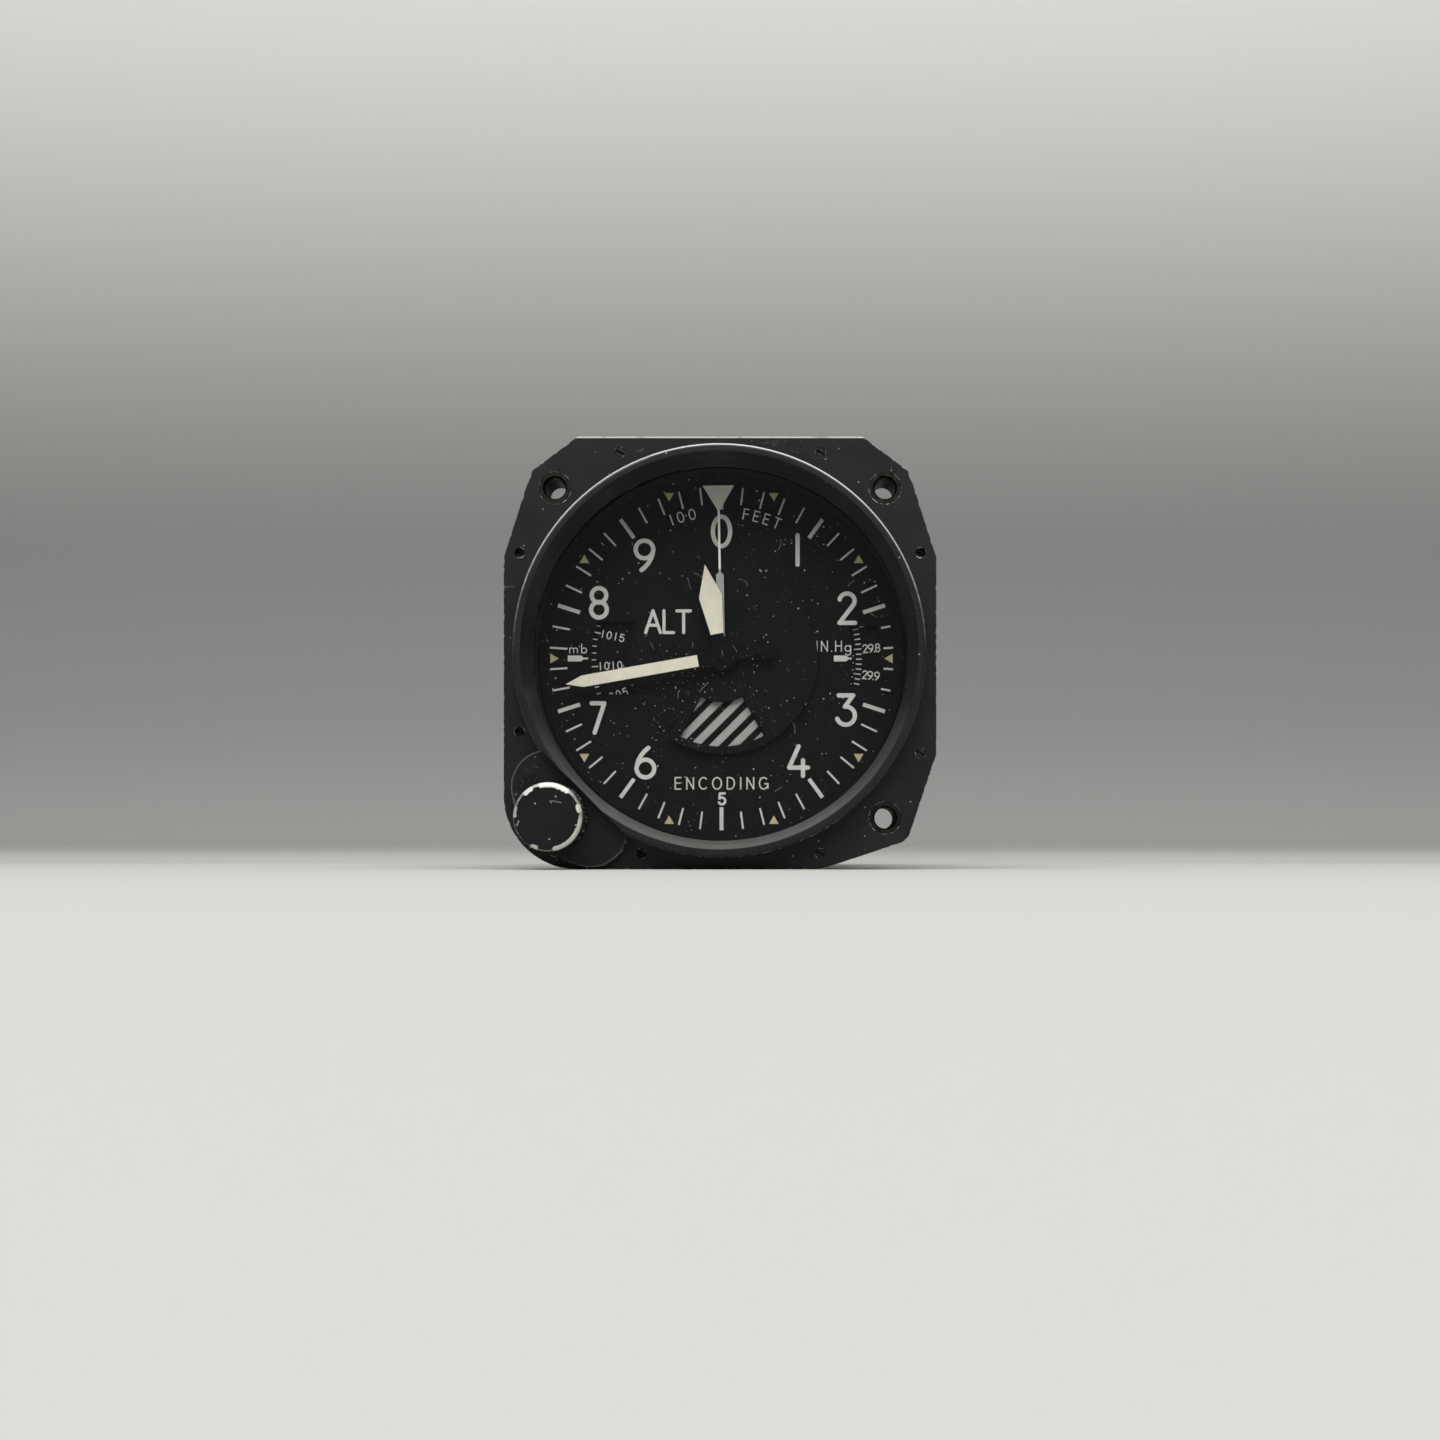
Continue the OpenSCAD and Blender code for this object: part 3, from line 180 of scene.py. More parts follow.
def calc(tree, operation, *values):
    """The result of a maths node, or of a chain of them where there are more than two values."""
    if len(values) > 2:
        values = (calc(tree, operation, *values[:-1]), values[-1])
    return add(tree, "ShaderNodeMath", dict(enumerate(values)), operation=operation).outputs[0]


def ramp(tree, value, low, high, to_low=0.0, to_high=1.0):
    """A value mapped smoothly from one range to another."""
    inputs = {0: value, 1: low, 2: high, 3: to_low, 4: to_high}
    return add(tree, "ShaderNodeMapRange", inputs, interpolation_type="SMOOTHSTEP").outputs[0]


def tint(tree, mask, under, over):
    """A colour that turns from one to another with a mask."""
    inputs = {0: mask, 6: under, 7: over}
    return add(tree, "ShaderNodeMix", inputs, data_type="RGBA").outputs[2]


def opaque(colour, tone=1.0):
    """A colour as a socket value, made darker or lighter by a tone."""
    return (*(Vector(colour) * tone), 1.0)


def place_of(tree):
    """Position on the piece at rest, in metres of the shared frame."""
    return add(tree, "ShaderNodeTexCoord").outputs["Object"]


def place_xyz(tree):
    """The same position as X, Y and Z."""
    return add(tree, "ShaderNodeSeparateXYZ", {0: place_of(tree)}).outputs


def dot(tree, first, second):
    """The dot product of two vectors."""
    inputs = {0: first, 1: second}
    return add(tree, "ShaderNodeVectorMath", inputs, operation="DOT_PRODUCT").outputs["Value"]


def axis_distance(tree, right, up):
    """Distance from an axis that runs to the rear, from the way to the right and up."""
    flat = add(tree, "ShaderNodeCombineXYZ", {"X": right, "Z": up}).outputs[0]
    return add(tree, "ShaderNodeVectorMath", {0: flat}, operation="LENGTH").outputs["Value"]


def noise(tree, scale, detail, rough, vector=None):
    """Cloudy noise on the piece, by features per metre."""
    inputs = {"Vector": vector or place_of(tree), "Scale": scale, "Detail": detail, "Roughness": rough}
    return add(tree, "ShaderNodeTexNoise", inputs).outputs[0]


def effect(name, inputs, outputs):
    """An empty shader node group with its sockets: the group, its entry and its exit."""
    group = bpy.data.node_groups.new(name, "ShaderNodeTree")
    for socket, default in inputs.items():
        made = group.interface.new_socket(socket, in_out="INPUT", socket_type="NodeSocketFloat")
        made.default_value = default
    for socket in outputs:
        kind = "NodeSocketVector" if socket == "Normal" else "NodeSocketFloat"
        group.interface.new_socket(socket, in_out="OUTPUT", socket_type=kind)
    entry = group.nodes.new("NodeGroupInput").outputs
    leave = group.nodes.new("NodeGroupOutput").inputs
    return group, entry, leave


def make_edge_wear():
    """Mask of worn edges, where the rounded normal leaves the flat one, and the rounded normal."""
    sockets = {"Width": 0.0003, "Amount": 0.5, "Patch": 700.0, "Front": -1.0}
    group, entry, leave = effect("EdgeWear", sockets, ["Mask", "Normal"])
    rounded = add(group, "ShaderNodeBevel", {"Radius": entry["Width"]}, samples=6).outputs[0]
    flat = add(group, "ShaderNodeNewGeometry").outputs["Normal"]
    bend = ramp(group, calc(group, "SUBTRACT", 1.0, dot(group, rounded, flat)), 0.01, 0.16)
    broken = noise(group, entry["Patch"], 6.0, 0.7)
    limit = calc(group, "SUBTRACT", 0.86, calc(group, "MULTIPLY", entry["Amount"], 0.62))
    chipped = ramp(group, broken, limit, calc(group, "ADD", limit, 0.07))
    behind = calc(group, "GREATER_THAN", place_xyz(group)["Y"], entry["Front"])
    group.links.new(calc(group, "MULTIPLY", bend, chipped, behind), leave["Mask"])
    group.links.new(rounded, leave["Normal"])


def make_paint_grain():
    """Fine unevenness of sprayed paint: a tone from 0 to 1 and a height."""
    group, entry, leave = effect("PaintGrain", {"Grain": 9000.0, "Cloud": 120.0}, ["Tone", "Height"])
    fine = noise(group, entry["Grain"], 2.0, 0.6)
    broad = noise(group, entry["Cloud"], 4.0, 0.6)
    tone = calc(group, "ADD", calc(group, "MULTIPLY", fine, 0.45), calc(group, "MULTIPLY", broad, 0.55))
    group.links.new(tone, leave["Tone"])
    group.links.new(fine, leave["Height"])


def make_dust_film():
    """Mask of dust: thick on faces that look up, and scattered specks everywhere."""
    sockets = {"Film": 0.4, "Specks": 0.4, "Size": 1500.0, "Even": 0.0, "From": 0.35}
    group, entry, leave = effect("DustFilm", sockets, ["Mask"])
    normal = add(group, "ShaderNodeNewGeometry").outputs["Normal"]
    rise = add(group, "ShaderNodeSeparateXYZ", {0: normal}).outputs["Z"]
    upward = ramp(group, rise, entry["From"], 1.0)
    clumps = ramp(group, noise(group, 420.0, 7.0, 0.72), 0.36, 0.66)
    clumps = calc(group, "MAXIMUM", clumps, entry["Even"])
    film = calc(group, "MULTIPLY", upward, clumps, entry["Film"])
    cells = add(group, "ShaderNodeTexVoronoi", {"Vector": place_of(group), "Scale": entry["Size"]})
    spot = ramp(group, cells.outputs["Distance"], 0.07, 0.15, 1.0, 0.0)
    keep = add(group, "ShaderNodeSeparateColor", {0: cells.outputs["Color"]}).outputs[0]
    rare = calc(group, "LESS_THAN", keep, calc(group, "MULTIPLY", entry["Specks"], 0.14))
    specks = calc(group, "MULTIPLY", spot, rare)
    group.links.new(calc(group, "MAXIMUM", film, specks), leave["Mask"])


def make_turning_lines():
    """Fine rings that a lathe leaves, by distance from the dial axis."""
    group, entry, leave = effect("TurningLines", {"Pitch": 0.0005, "Behind": 0.0}, ["Height"])
    place = place_xyz(group)
    radius = axis_distance(group, place["X"], place["Z"])
    across = calc(group, "SUBTRACT", radius, calc(group, "MULTIPLY", place["Y"], 0.3))
    turns = calc(group, "DIVIDE", across, calc(group, "DIVIDE", entry["Pitch"], math.tau))
    wave = calc(group, "SINE", turns)
    spread = add(group, "ShaderNodeCombineXYZ", {"X": across}).outputs[0]
    uneven = noise(group, 1400.0, 2.0, 0.5, spread)
    grooves = calc(group, "ADD", calc(group, "MULTIPLY", wave, 0.2), uneven)
    ring = calc(group, "LESS_THAN", place["Y"], entry["Behind"])
    group.links.new(calc(group, "MULTIPLY", grooves, ring), leave["Height"])


def make_rim_wear():
    """Mask of polished or thin paint round a rim, also used for a painted highlight: a band round an axis,
    fuller to one side, broken up by noise.
    """
    sockets = {
        "X": 0.0, "Z": 0.0, "Inner": 0.006, "Outer": 1.0, "Depth": 0.0,
        "Amount": 0.5, "Right": 0.0, "Up": 0.5, "Patchy": 1.0,
    }
    group, entry, leave = effect("RimWearAndHighlight", sockets, ["Mask"])
    place = place_xyz(group)
    right = calc(group, "SUBTRACT", place["X"], entry["X"])
    up = calc(group, "SUBTRACT", place["Z"], entry["Z"])
    radius = axis_distance(group, right, up)
    raggedness = calc(group, "MULTIPLY", entry["Patchy"], 0.0002)
    jitter = calc(group, "MULTIPLY", noise(group, 2600.0, 4.0, 0.7), raggedness)
    reach = calc(group, "SUBTRACT", calc(group, "ADD", radius, jitter), entry["Inner"])
    front = calc(group, "LESS_THAN", place["Y"], entry["Depth"])
    within = calc(group, "MULTIPLY", front, calc(group, "LESS_THAN", radius, entry["Outer"]))
    band = calc(group, "MULTIPLY", ramp(group, reach, 0.0, 0.00012), within)
    sideways = calc(group, "MULTIPLY", entry["Right"], calc(group, "DIVIDE", right, radius))
    upward = calc(group, "MULTIPLY", entry["Up"], calc(group, "DIVIDE", up, radius))
    uneven = calc(group, "SUBTRACT", noise(group, 900.0, 5.0, 0.7), 0.5)
    lean = calc(group, "ADD", sideways, upward, calc(group, "MULTIPLY", uneven, entry["Patchy"]))
    worn = ramp(group, calc(group, "ADD", lean, entry["Amount"]), 0.3, 0.7)
    group.links.new(calc(group, "MULTIPLY", band, worn), leave["Mask"])


def use(tree, group, **values):
    """Places an effect in a material with its own values."""
    return add(tree, "ShaderNodeGroup", values, node_tree=bpy.data.node_groups[group]).outputs


def new_finish(name, sockets):
    """A material with one Principled shader."""
    material = bpy.data.materials.new(name)
    material.use_nodes = True
    tree = material.node_tree
    shader = next(n for n in tree.nodes if n.type == "BSDF_PRINCIPLED")
    wire(tree, shader, sockets)
    return material, tree, shader


def bump(tree, shader, height, strength, distance, normal=None):
    """Relief from a height that reaches the shader's normal, over a rounded normal where there is one."""
    inputs = {"Height": height, "Strength": strength, "Distance": distance}
    if normal:
        inputs["Normal"] = normal
    wire(tree, shader, {"Normal": add(tree, "ShaderNodeBump", inputs).outputs[0]})


def grained(tree, grain, colour, spread, dark, light):
    """A colour between a dark and a light tone of itself, by the grain's tone about its middle."""
    tone = ramp(tree, grain["Tone"], 0.5 - spread, 0.5 + spread)
    return tint(tree, tone, opaque(colour, dark), opaque(colour, light))


def coat(tree, shader, grain, colour, rough, strength, relief=FINE_RELIEF):
    """Gives a shader its colour, and a roughness and a relief from the grain."""
    dull = ramp(tree, grain["Tone"], 0.2, 0.8, rough - 0.1, rough + 0.1)
    wire(tree, shader, {"Base Color": colour, "Roughness": dull})
    bump(tree, shader, grain["Height"], strength, relief)


def worn_paint(name, colour, look, rough, wear, film, specks, turned=False, gloss=0.3, marks=None):
    """Black paint with grain, rounded and chipped edges and dust, which on a turned piece is also a painted
    sheen; marks gives more masks and colours.
    """
    material, tree, shader = new_finish(name, {"IOR": 1.5, "Specular IOR Level": gloss})
    grain = use(tree, "PaintGrain")
    painted = grained(tree, grain, colour, 0.2, 0.72, 1.3)
    front = RING_FRONT / 2 if turned else -1.0
    edges = use(tree, "EdgeWear", Width=look.edge_width, Amount=wear, Front=front)
    chips = edges["Mask"]
    worn = tint(tree, chips, painted, opaque(look.bare_metal))
    for mask, over in marks(tree, look) if marks else ():
        worn = tint(tree, mask, worn, over)
        chips = calc(tree, "MAXIMUM", chips, mask)
    # On a turned piece the film covers nearly every face that looks up and follows the turning lines: dust
    # and a painted sheen of the light from above on the ring's inner wall
    even = {"Even": 0.85, "From": 0.06} if turned else {"Even": 0.45}
    dusty = use(tree, "DustFilm", Film=film, Specks=specks, Size=800.0, **even)["Mask"]
    height = grain["Height"]
    if turned:
        rings = use(tree, "TurningLines", Behind=PAD_FACE - 0.5 * MM)["Height"]
        dusty = calc(tree, "MULTIPLY", dusty, ramp(tree, rings, 0.2, 0.9, 0.62, 1.25))
        height = calc(tree, "ADD", calc(tree, "MULTIPLY", height, 0.5), rings)
    wire(tree, shader, {
        "Base Color": tint(tree, dusty, worn, opaque(look.dust)),
        "Metallic": calc(tree, "MULTIPLY", chips, 0.5),
        "Roughness": ramp(tree, grain["Tone"], 0.2, 0.8, rough - 0.08, rough + 0.1),
    })
    bump(tree, shader, height, 0.35, 0.04 * MM, edges["Normal"])
    return material


def pad_rim(tree, end, inner, **wear):
    """Mask of the thin paint and painted highlight round one end of the pad."""
    return use(
        tree, "RimWearAndHighlight", X=KNOB_AXIS.x + end[0] * MM, Z=KNOB_AXIS.z + end[1] * MM, Inner=inner * MM,
        Outer=7.3 * MM, Depth=PAD_FACE + 0.4 * MM, **wear,
    )["Mask"]


def bezel_marks(tree, look):
    """Marks that are partly painted highlights: the ring's polished edge lit from above, the flange's dusty
    top edge with a painted highlight, and thin paint on the pad's edges with a painted highlight on the
    upper one.
    """
    # The ring's polished outer edge, lighter over the top: a painted highlight of the light from above
    ring = use(
        tree, "RimWearAndHighlight", Inner=38.55 * MM, Depth=RING_FRONT + 0.7 * MM, Amount=0.32, Up=0.55, Patchy=0.35
    )["Mask"]
    place = place_xyz(tree)
    # A light band along the flange's top edge: dust and a painted highlight of the light from above
    top = ramp(tree, place["Z"], BEZEL_TOP - 0.34 * MM, BEZEL_TOP - 0.2 * MM)
    front = calc(tree, "LESS_THAN", place["Y"], 0.7 * MM)
    broken = ramp(tree, noise(tree, 420.0, 5.0, 0.7), 0.28, 0.5, 0.3, 1.0)
    top_dust_and_highlight = calc(tree, "MULTIPLY", top, front, broken)
    # The pad's upper edge: thin paint with a painted highlight of the light from above; its lower edge: thin
    # paint
    high = pad_rim(tree, PAD_UPPER_END, 6.68, Amount=0.5, Right=-0.4, Up=0.3, Patchy=0.4)
    low = pad_rim(tree, PAD_LOWER_END, 6.7, Amount=0.25, Right=0.1, Up=-0.3, Patchy=0.6)
    pad = calc(tree, "GREATER_THAN", place["Y"], PAD_FACE - 0.1 * MM)
    edge = calc(tree, "MULTIPLY", calc(tree, "MAXIMUM", high, low), pad)
    return (ring, opaque(look.rubbed)), (top_dust_and_highlight, opaque(look.dust)), (edge, opaque(look.pad_edge))


# How far the knob's edge is rubbed through, from 0 to 1, by clock heading in degrees from the top
KNOB_RIM = (
    (-180, 0.25), (-164, 0.25), (-161, 0.75), (-151, 0.7), (-148, 0.2), (-93, 0.2), (-90, 0.7), (-74, 0.6),
    (-70, 0.35), (-48, 0.4), (-45, 0.95), (-29, 0.9), (-26, 0.5), (-17, 0.55), (-14, 1.0), (38, 1.0),
    (42, 0.5), (66, 0.4), (69, 0.95), (81, 0.9), (84, 0.4), (95, 0.75), (168, 0.8), (174, 0.25),
)


def knob_marks(tree, look):
    """Bare alloy round the knob's front edge, wide and bright where it is rubbed most."""
    place = place_xyz(tree)
    right = calc(tree, "SUBTRACT", place["X"], KNOB_AXIS.x)
    up = calc(tree, "SUBTRACT", place["Z"], KNOB_AXIS.z)
    turn = calc(tree, "DIVIDE", calc(tree, "ARCTAN2", right, up), math.tau)
    curve = add(tree, "ShaderNodeValToRGB", {0: calc(tree, "ADD", turn, 0.5)})
    stops = curve.color_ramp.elements
    stops.remove(stops[1])
    for i, (heading, amount) in enumerate(KNOB_RIM):
        stop = stops[0] if i == 0 else stops.new(heading / 360 + 0.5)
        stop.color = (amount, amount, amount, 1)
    amount = curve.outputs["Color"]
    radius = axis_distance(tree, right, up)
    jitter = calc(tree, "MULTIPLY", calc(tree, "SUBTRACT", noise(tree, 2400.0, 4.0, 0.7), 0.5), 0.5 * MM)
    inner = calc(tree, "SUBTRACT", KNOB_RADIUS - 0.12 * MM, calc(tree, "MULTIPLY", amount, 0.9 * MM))
    reach = calc(tree, "SUBTRACT", calc(tree, "ADD", radius, jitter), inner)
    front = calc(tree, "LESS_THAN", place["Y"], KNOB_LOW.y + 0.75 * MM)
    patch = calc(tree, "SUBTRACT", noise(tree, 1500.0, 4.0, 0.7), 0.5)
    kept = ramp(tree, calc(tree, "ADD", amount, calc(tree, "MULTIPLY", patch, 2.2)), 0.18, 0.3)
    band = calc(tree, "MULTIPLY", ramp(tree, reach, 0.0, 0.1 * MM), front)
    metal = tint(tree, amount, opaque(look.pad_edge), opaque(look.bare_metal))
    return ((calc(tree, "MULTIPLY", band, kept), metal),)


def ink(name, colour, rough=0.62, thin=0.82):
    """Screen-printed ink, a little uneven; thin is the tone of its weakest spots."""
    material, tree, shader = new_finish(name, {"IOR": 1.45})
    grain = use(tree, "PaintGrain", Grain=7000.0, Cloud=420.0)
    coat(tree, shader, grain, grained(tree, grain, colour, 0.25, thin, 1.08), rough, 0.2)
    return material


def bare(name, colour, rough):
    """Bare metal with a brushed, slightly stained surface."""
    material, tree, shader = new_finish(name, {"Metallic": 1.0})
    along = add(tree, "ShaderNodeMapping", {"Vector": place_of(tree), "Scale": (1.0, 14.0, 1.0)}).outputs[0]
    brushed = noise(tree, 400.0, 4.0, 0.6, along)
    stain = ramp(tree, noise(tree, 260.0, 4.0, 0.6), 0.35, 0.7)
    wire(tree, shader, {
        "Base Color": tint(tree, stain, opaque(colour), opaque(colour, 0.6)),
        "Roughness": ramp(tree, brushed, 0.3, 0.7, rough - 0.1, rough + 0.14),
    })
    bump(tree, shader, brushed, 0.2, FINE_RELIEF)
    return material


def two_tone_pointer(name, look, colour, direction, black_to, painted_shade_to):
    """Pointer paint: black round the hub and tail, then a grey part that is painted shade, then a pale
    blade.
    """
    material, tree, shader = new_finish(name, {"IOR": 1.45, "Specular IOR Level": 0.06})
    along = dot(tree, place_of(tree), direction)
    grain = use(tree, "PaintGrain", Grain=5000.0, Cloud=300.0)
    cream = grained(tree, grain, colour, 0.25, 0.86, 1.04)
    # The blade's inner part takes the stripes' grey: painted shade
    blade = tint(tree, calc(tree, "GREATER_THAN", along, painted_shade_to * MM), opaque(look.stripes), cream)
    painted = tint(tree, calc(tree, "GREATER_THAN", along, black_to * MM), opaque(look.dial), blade)
    dusty = use(tree, "DustFilm", Film=0.0, Specks=0.5, Size=2200.0)["Mask"]
    coat(tree, shader, grain, tint(tree, dusty, painted, opaque(look.dust)), 0.6, 0.25)
    return material


def clear_glass(name):
    """Flat cover glass that lets the light through to the dial."""
    sockets = {"IOR": 1.5, "Roughness": 0.0, "Transmission Weight": 1.0, "Specular IOR Level": 0.25}
    material, tree, shader = new_finish(name, sockets)
    smear = ramp(tree, noise(tree, 60.0, 4.0, 0.6), 0.4, 0.7)
    wire(tree, shader, {"Base Color": tint(tree, smear, (1, 1, 1, 1), (0.97, 0.985, 0.98, 1))})
    clear = add(tree, "ShaderNodeBsdfTransparent").outputs[0]
    shadow = add(tree, "ShaderNodeLightPath").outputs["Is Shadow Ray"]
    mixed = add(tree, "ShaderNodeMixShader", {0: shadow, 1: shader.outputs[0], 2: clear}).outputs[0]
    wire(tree, next(n for n in tree.nodes if n.type == "OUTPUT_MATERIAL"), {"Surface": mixed})
    return material


def plain_polymer(name, colour, rough):
    """Rubber or moulded plastic with a fine grain."""
    material, tree, shader = new_finish(name, {"IOR": 1.5})
    grain = use(tree, "PaintGrain", Grain=6000.0, Cloud=200.0)
    coat(tree, shader, grain, grained(tree, grain, colour, 0.2, 0.75, 1.2), rough, 0.3, 0.03 * MM)
    return material


def threaded_steel(name, colour, pitch):
    """Dull plated steel with a thread along the depth."""
    material, tree, shader = new_finish(name, {"Metallic": 1.0})
    thread = calc(tree, "SINE", calc(tree, "MULTIPLY", place_xyz(tree)["Y"], math.tau / pitch))
    stain = noise(tree, 900.0, 5.0, 0.65)
    wire(tree, shader, {
        "Base Color": tint(tree, ramp(tree, stain, 0.35, 0.7), opaque(colour), opaque(colour, 0.35)),
        "Roughness": ramp(tree, stain, 0.3, 0.7, 0.35, 0.6),
    })
    bump(tree, shader, thread, 0.8, 0.2 * MM)
    return material


def circuit_board(name):
    """Green board with copper tracks under the lacquer."""
    material, tree, shader = new_finish(name, {"Roughness": 0.35, "Coat Weight": 0.4})
    cells = add(
        tree, "ShaderNodeTexVoronoi", {"Vector": place_of(tree), "Scale": 260.0},
        distance="MANHATTAN", feature="DISTANCE_TO_EDGE",
    ).outputs["Distance"]
    tracks = ramp(tree, cells, 0.05, 0.09, 1.0, 0.0)
    green = tint(tree, tracks, opaque(srgb(30, 74, 44)), opaque(srgb(70, 118, 62)))
    wire(tree, shader, {"Base Color": green})
    bump(tree, shader, tracks, 0.4, 0.03 * MM)
    return material


def dress(nodes, material, bevel=0.0):
    """Gives solids their finish and, where asked, softly broken edges of a width in millimetres."""
    for node in nodes.split():
        piece = NODES[node]
        piece.data.materials.clear()
        piece.data.materials.append(material)
        if bevel:
            weld = piece.modifiers.new("Weld", "WELD")
            weld.merge_threshold = 0.001 * MM
            soft = piece.modifiers.new("Edges", "BEVEL")
            soft.width = bevel * MM
            soft.segments = 2
            soft.limit_method = "ANGLE"
            soft.angle_limit = math.radians(40)
            soft.harden_normals = True


def lines(*ends):
    """Straight strokes, each from one point to another."""
    return [([(x, z), (to_x, to_z)], False) for x, z, to_x, to_z in ends]


def bow(x, z, rx, rz, start, end, steps=20):
    """Part of an ellipse between two angles in degrees, anticlockwise from the right."""
    turn = [math.radians(start + (end - start) * i / steps) for i in range(steps + 1)]
    return [(x + rx * math.cos(a), z + rz * math.sin(a)) for a in turn], False


def loop(x, z, rx, rz, steps=36):
    """A whole ellipse."""
    return bow(x, z, rx, rz, 0, 360 - 360 / steps, steps - 1)[0], True


def sweep(start, control, end, steps=12):
    """A curved stroke from start to end that leans towards a control point."""
    points = []
    for i in range(steps + 1):
        t = i / steps
        a, b, c = (1 - t) ** 2, 2 * t * (1 - t), t * t
        points.append(tuple(a * start[k] + b * control[k] + c * end[k] for k in (0, 1)))
    return points, False


def half_turn(strokes):
    """The same strokes upside down."""
    return [([(-x, -z) for x, z in points], closed) for points, closed in strokes]


# Width and pen strokes of the dial's letters, in a box one unit high about its middle
SIX = [loop(0, -0.2, 0.3, 0.3), sweep((-0.3, -0.2), (-0.27, 0.22), (0.1, 0.5))]
GLYPHS = {
    "0": (0.6, [loop(0, 0, 0.292, 0.5)]),
    "1": (0.1, lines((0, 0.5, 0, -0.5))),
    "2": (0.54, [
        (bow(0, 0.25, 0.255, 0.25, 170, -35)[0] + [(-0.26, -0.5)], False), *lines((-0.26, -0.5, 0.27, -0.5)),
    ]),
    "3": (0.6, [
        *lines((-0.25, 0.5, 0.24, 0.5), (0.24, 0.5, -0.04, 0.115)), bow(-0.01, -0.19, 0.31, 0.31, 95, -160),
    ]),
    "4": (0.64, lines((0.0, 0.5, -0.32, -0.22), (-0.32, -0.22, 0.32, -0.22), (0.15, 0.03, 0.15, -0.5))),
    "5": (0.56, [
        *lines((0.24, 0.5, -0.19, 0.5), (-0.19, 0.5, -0.24, 0.03)), bow(-0.01, -0.19, 0.3, 0.31, 136, -155),
    ]),
    "6": (0.6, SIX),
    "7": (0.46, lines((-0.215, 0.5, 0.215, 0.5), (0.215, 0.5, -0.11, -0.5))),
    "8": (0.54, [loop(0, 0.254, 0.246, 0.246), loop(0, -0.234, 0.266, 0.266)]),
    "9": (0.6, half_turn(SIX)),
    ".": (0.06, lines((0, -0.5, 0, -0.47))),
    "A": (0.7, lines((-0.34, -0.5, 0, 0.5), (0.34, -0.5, 0, 0.5), (-0.22, -0.16, 0.22, -0.16))),
    "C": (0.66, [bow(0.03, 0, 0.37, 0.5, 48, 312, 28)]),
    "D": (0.64, [
        *lines((-0.3, -0.5, -0.3, 0.5)),
        ([(-0.3, 0.5)] + bow(-0.06, 0, 0.37, 0.5, 90, -90)[0] + [(-0.3, -0.5)], False),
    ]),
    "E": (0.5, lines(
        (-0.25, 0.5, -0.25, -0.5), (-0.25, 0.5, 0.24, 0.5),
        (-0.25, 0.02, 0.18, 0.02), (-0.25, -0.5, 0.24, -0.5),
    )),
    "F": (0.5, lines((-0.25, 0.5, -0.25, -0.5), (-0.25, 0.5, 0.24, 0.5), (-0.25, 0.02, 0.18, 0.02))),
    "G": (0.72, [
        bow(0, 0, 0.37, 0.5, 48, 350, 28), *lines((0.37, -0.04, 0.1, -0.04), (0.37, -0.04, 0.37, -0.42)),
    ]),
    "H": (0.56, lines((-0.28, 0.5, -0.28, -0.5), (0.28, 0.5, 0.28, -0.5), (-0.28, 0.02, 0.28, 0.02))),
    "I": (0.08, lines((0, 0.5, 0, -0.5))),
    "L": (0.44, lines((-0.22, 0.5, -0.22, -0.5), (-0.22, -0.5, 0.22, -0.5))),
    "N": (0.6, lines((-0.29, -0.5, -0.29, 0.5), (-0.29, 0.5, 0.29, -0.5), (0.29, -0.5, 0.29, 0.5))),
    "O": (0.76, [loop(0, 0, 0.38, 0.5)]),
    "T": (0.62, lines((-0.31, 0.5, 0.31, 0.5), (0, 0.5, 0, -0.5))),
    "b": (0.56, [*lines((-0.26, 0.5, -0.26, -0.5)), loop(0.02, -0.22, 0.27, 0.28)]),
    "g": (0.56, [
        loop(-0.02, -0.22, 0.27, 0.28), *lines((0.26, 0.06, 0.26, -0.62)),
        bow(-0.01, -0.62, 0.27, 0.24, 0, -150),
    ]),
    "m": (0.9, [
        *lines((-0.43, 0.06, -0.43, -0.5), (0, -0.14, 0, -0.5), (0.43, -0.14, 0.43, -0.5)),
        bow(-0.215, -0.14, 0.215, 0.2, 180, 0), bow(0.215, -0.14, 0.215, 0.2, 180, 0),
    ]),
}


def polar(radius, angle, middle=(0, 0)):
    """A point at a radius and an angle, anticlockwise from the right, about a middle."""
    return middle[0] + radius * math.cos(angle), middle[1] + radius * math.sin(angle)


def placed(points, turn, at, size=1.0):
    """Points turned anticlockwise by an angle in radians, scaled and moved to a place."""
    cos, sin = math.cos(turn), math.sin(turn)
    return [(at[0] + size * (x * cos - z * sin), at[1] + size * (x * sin + z * cos)) for x, z in points]


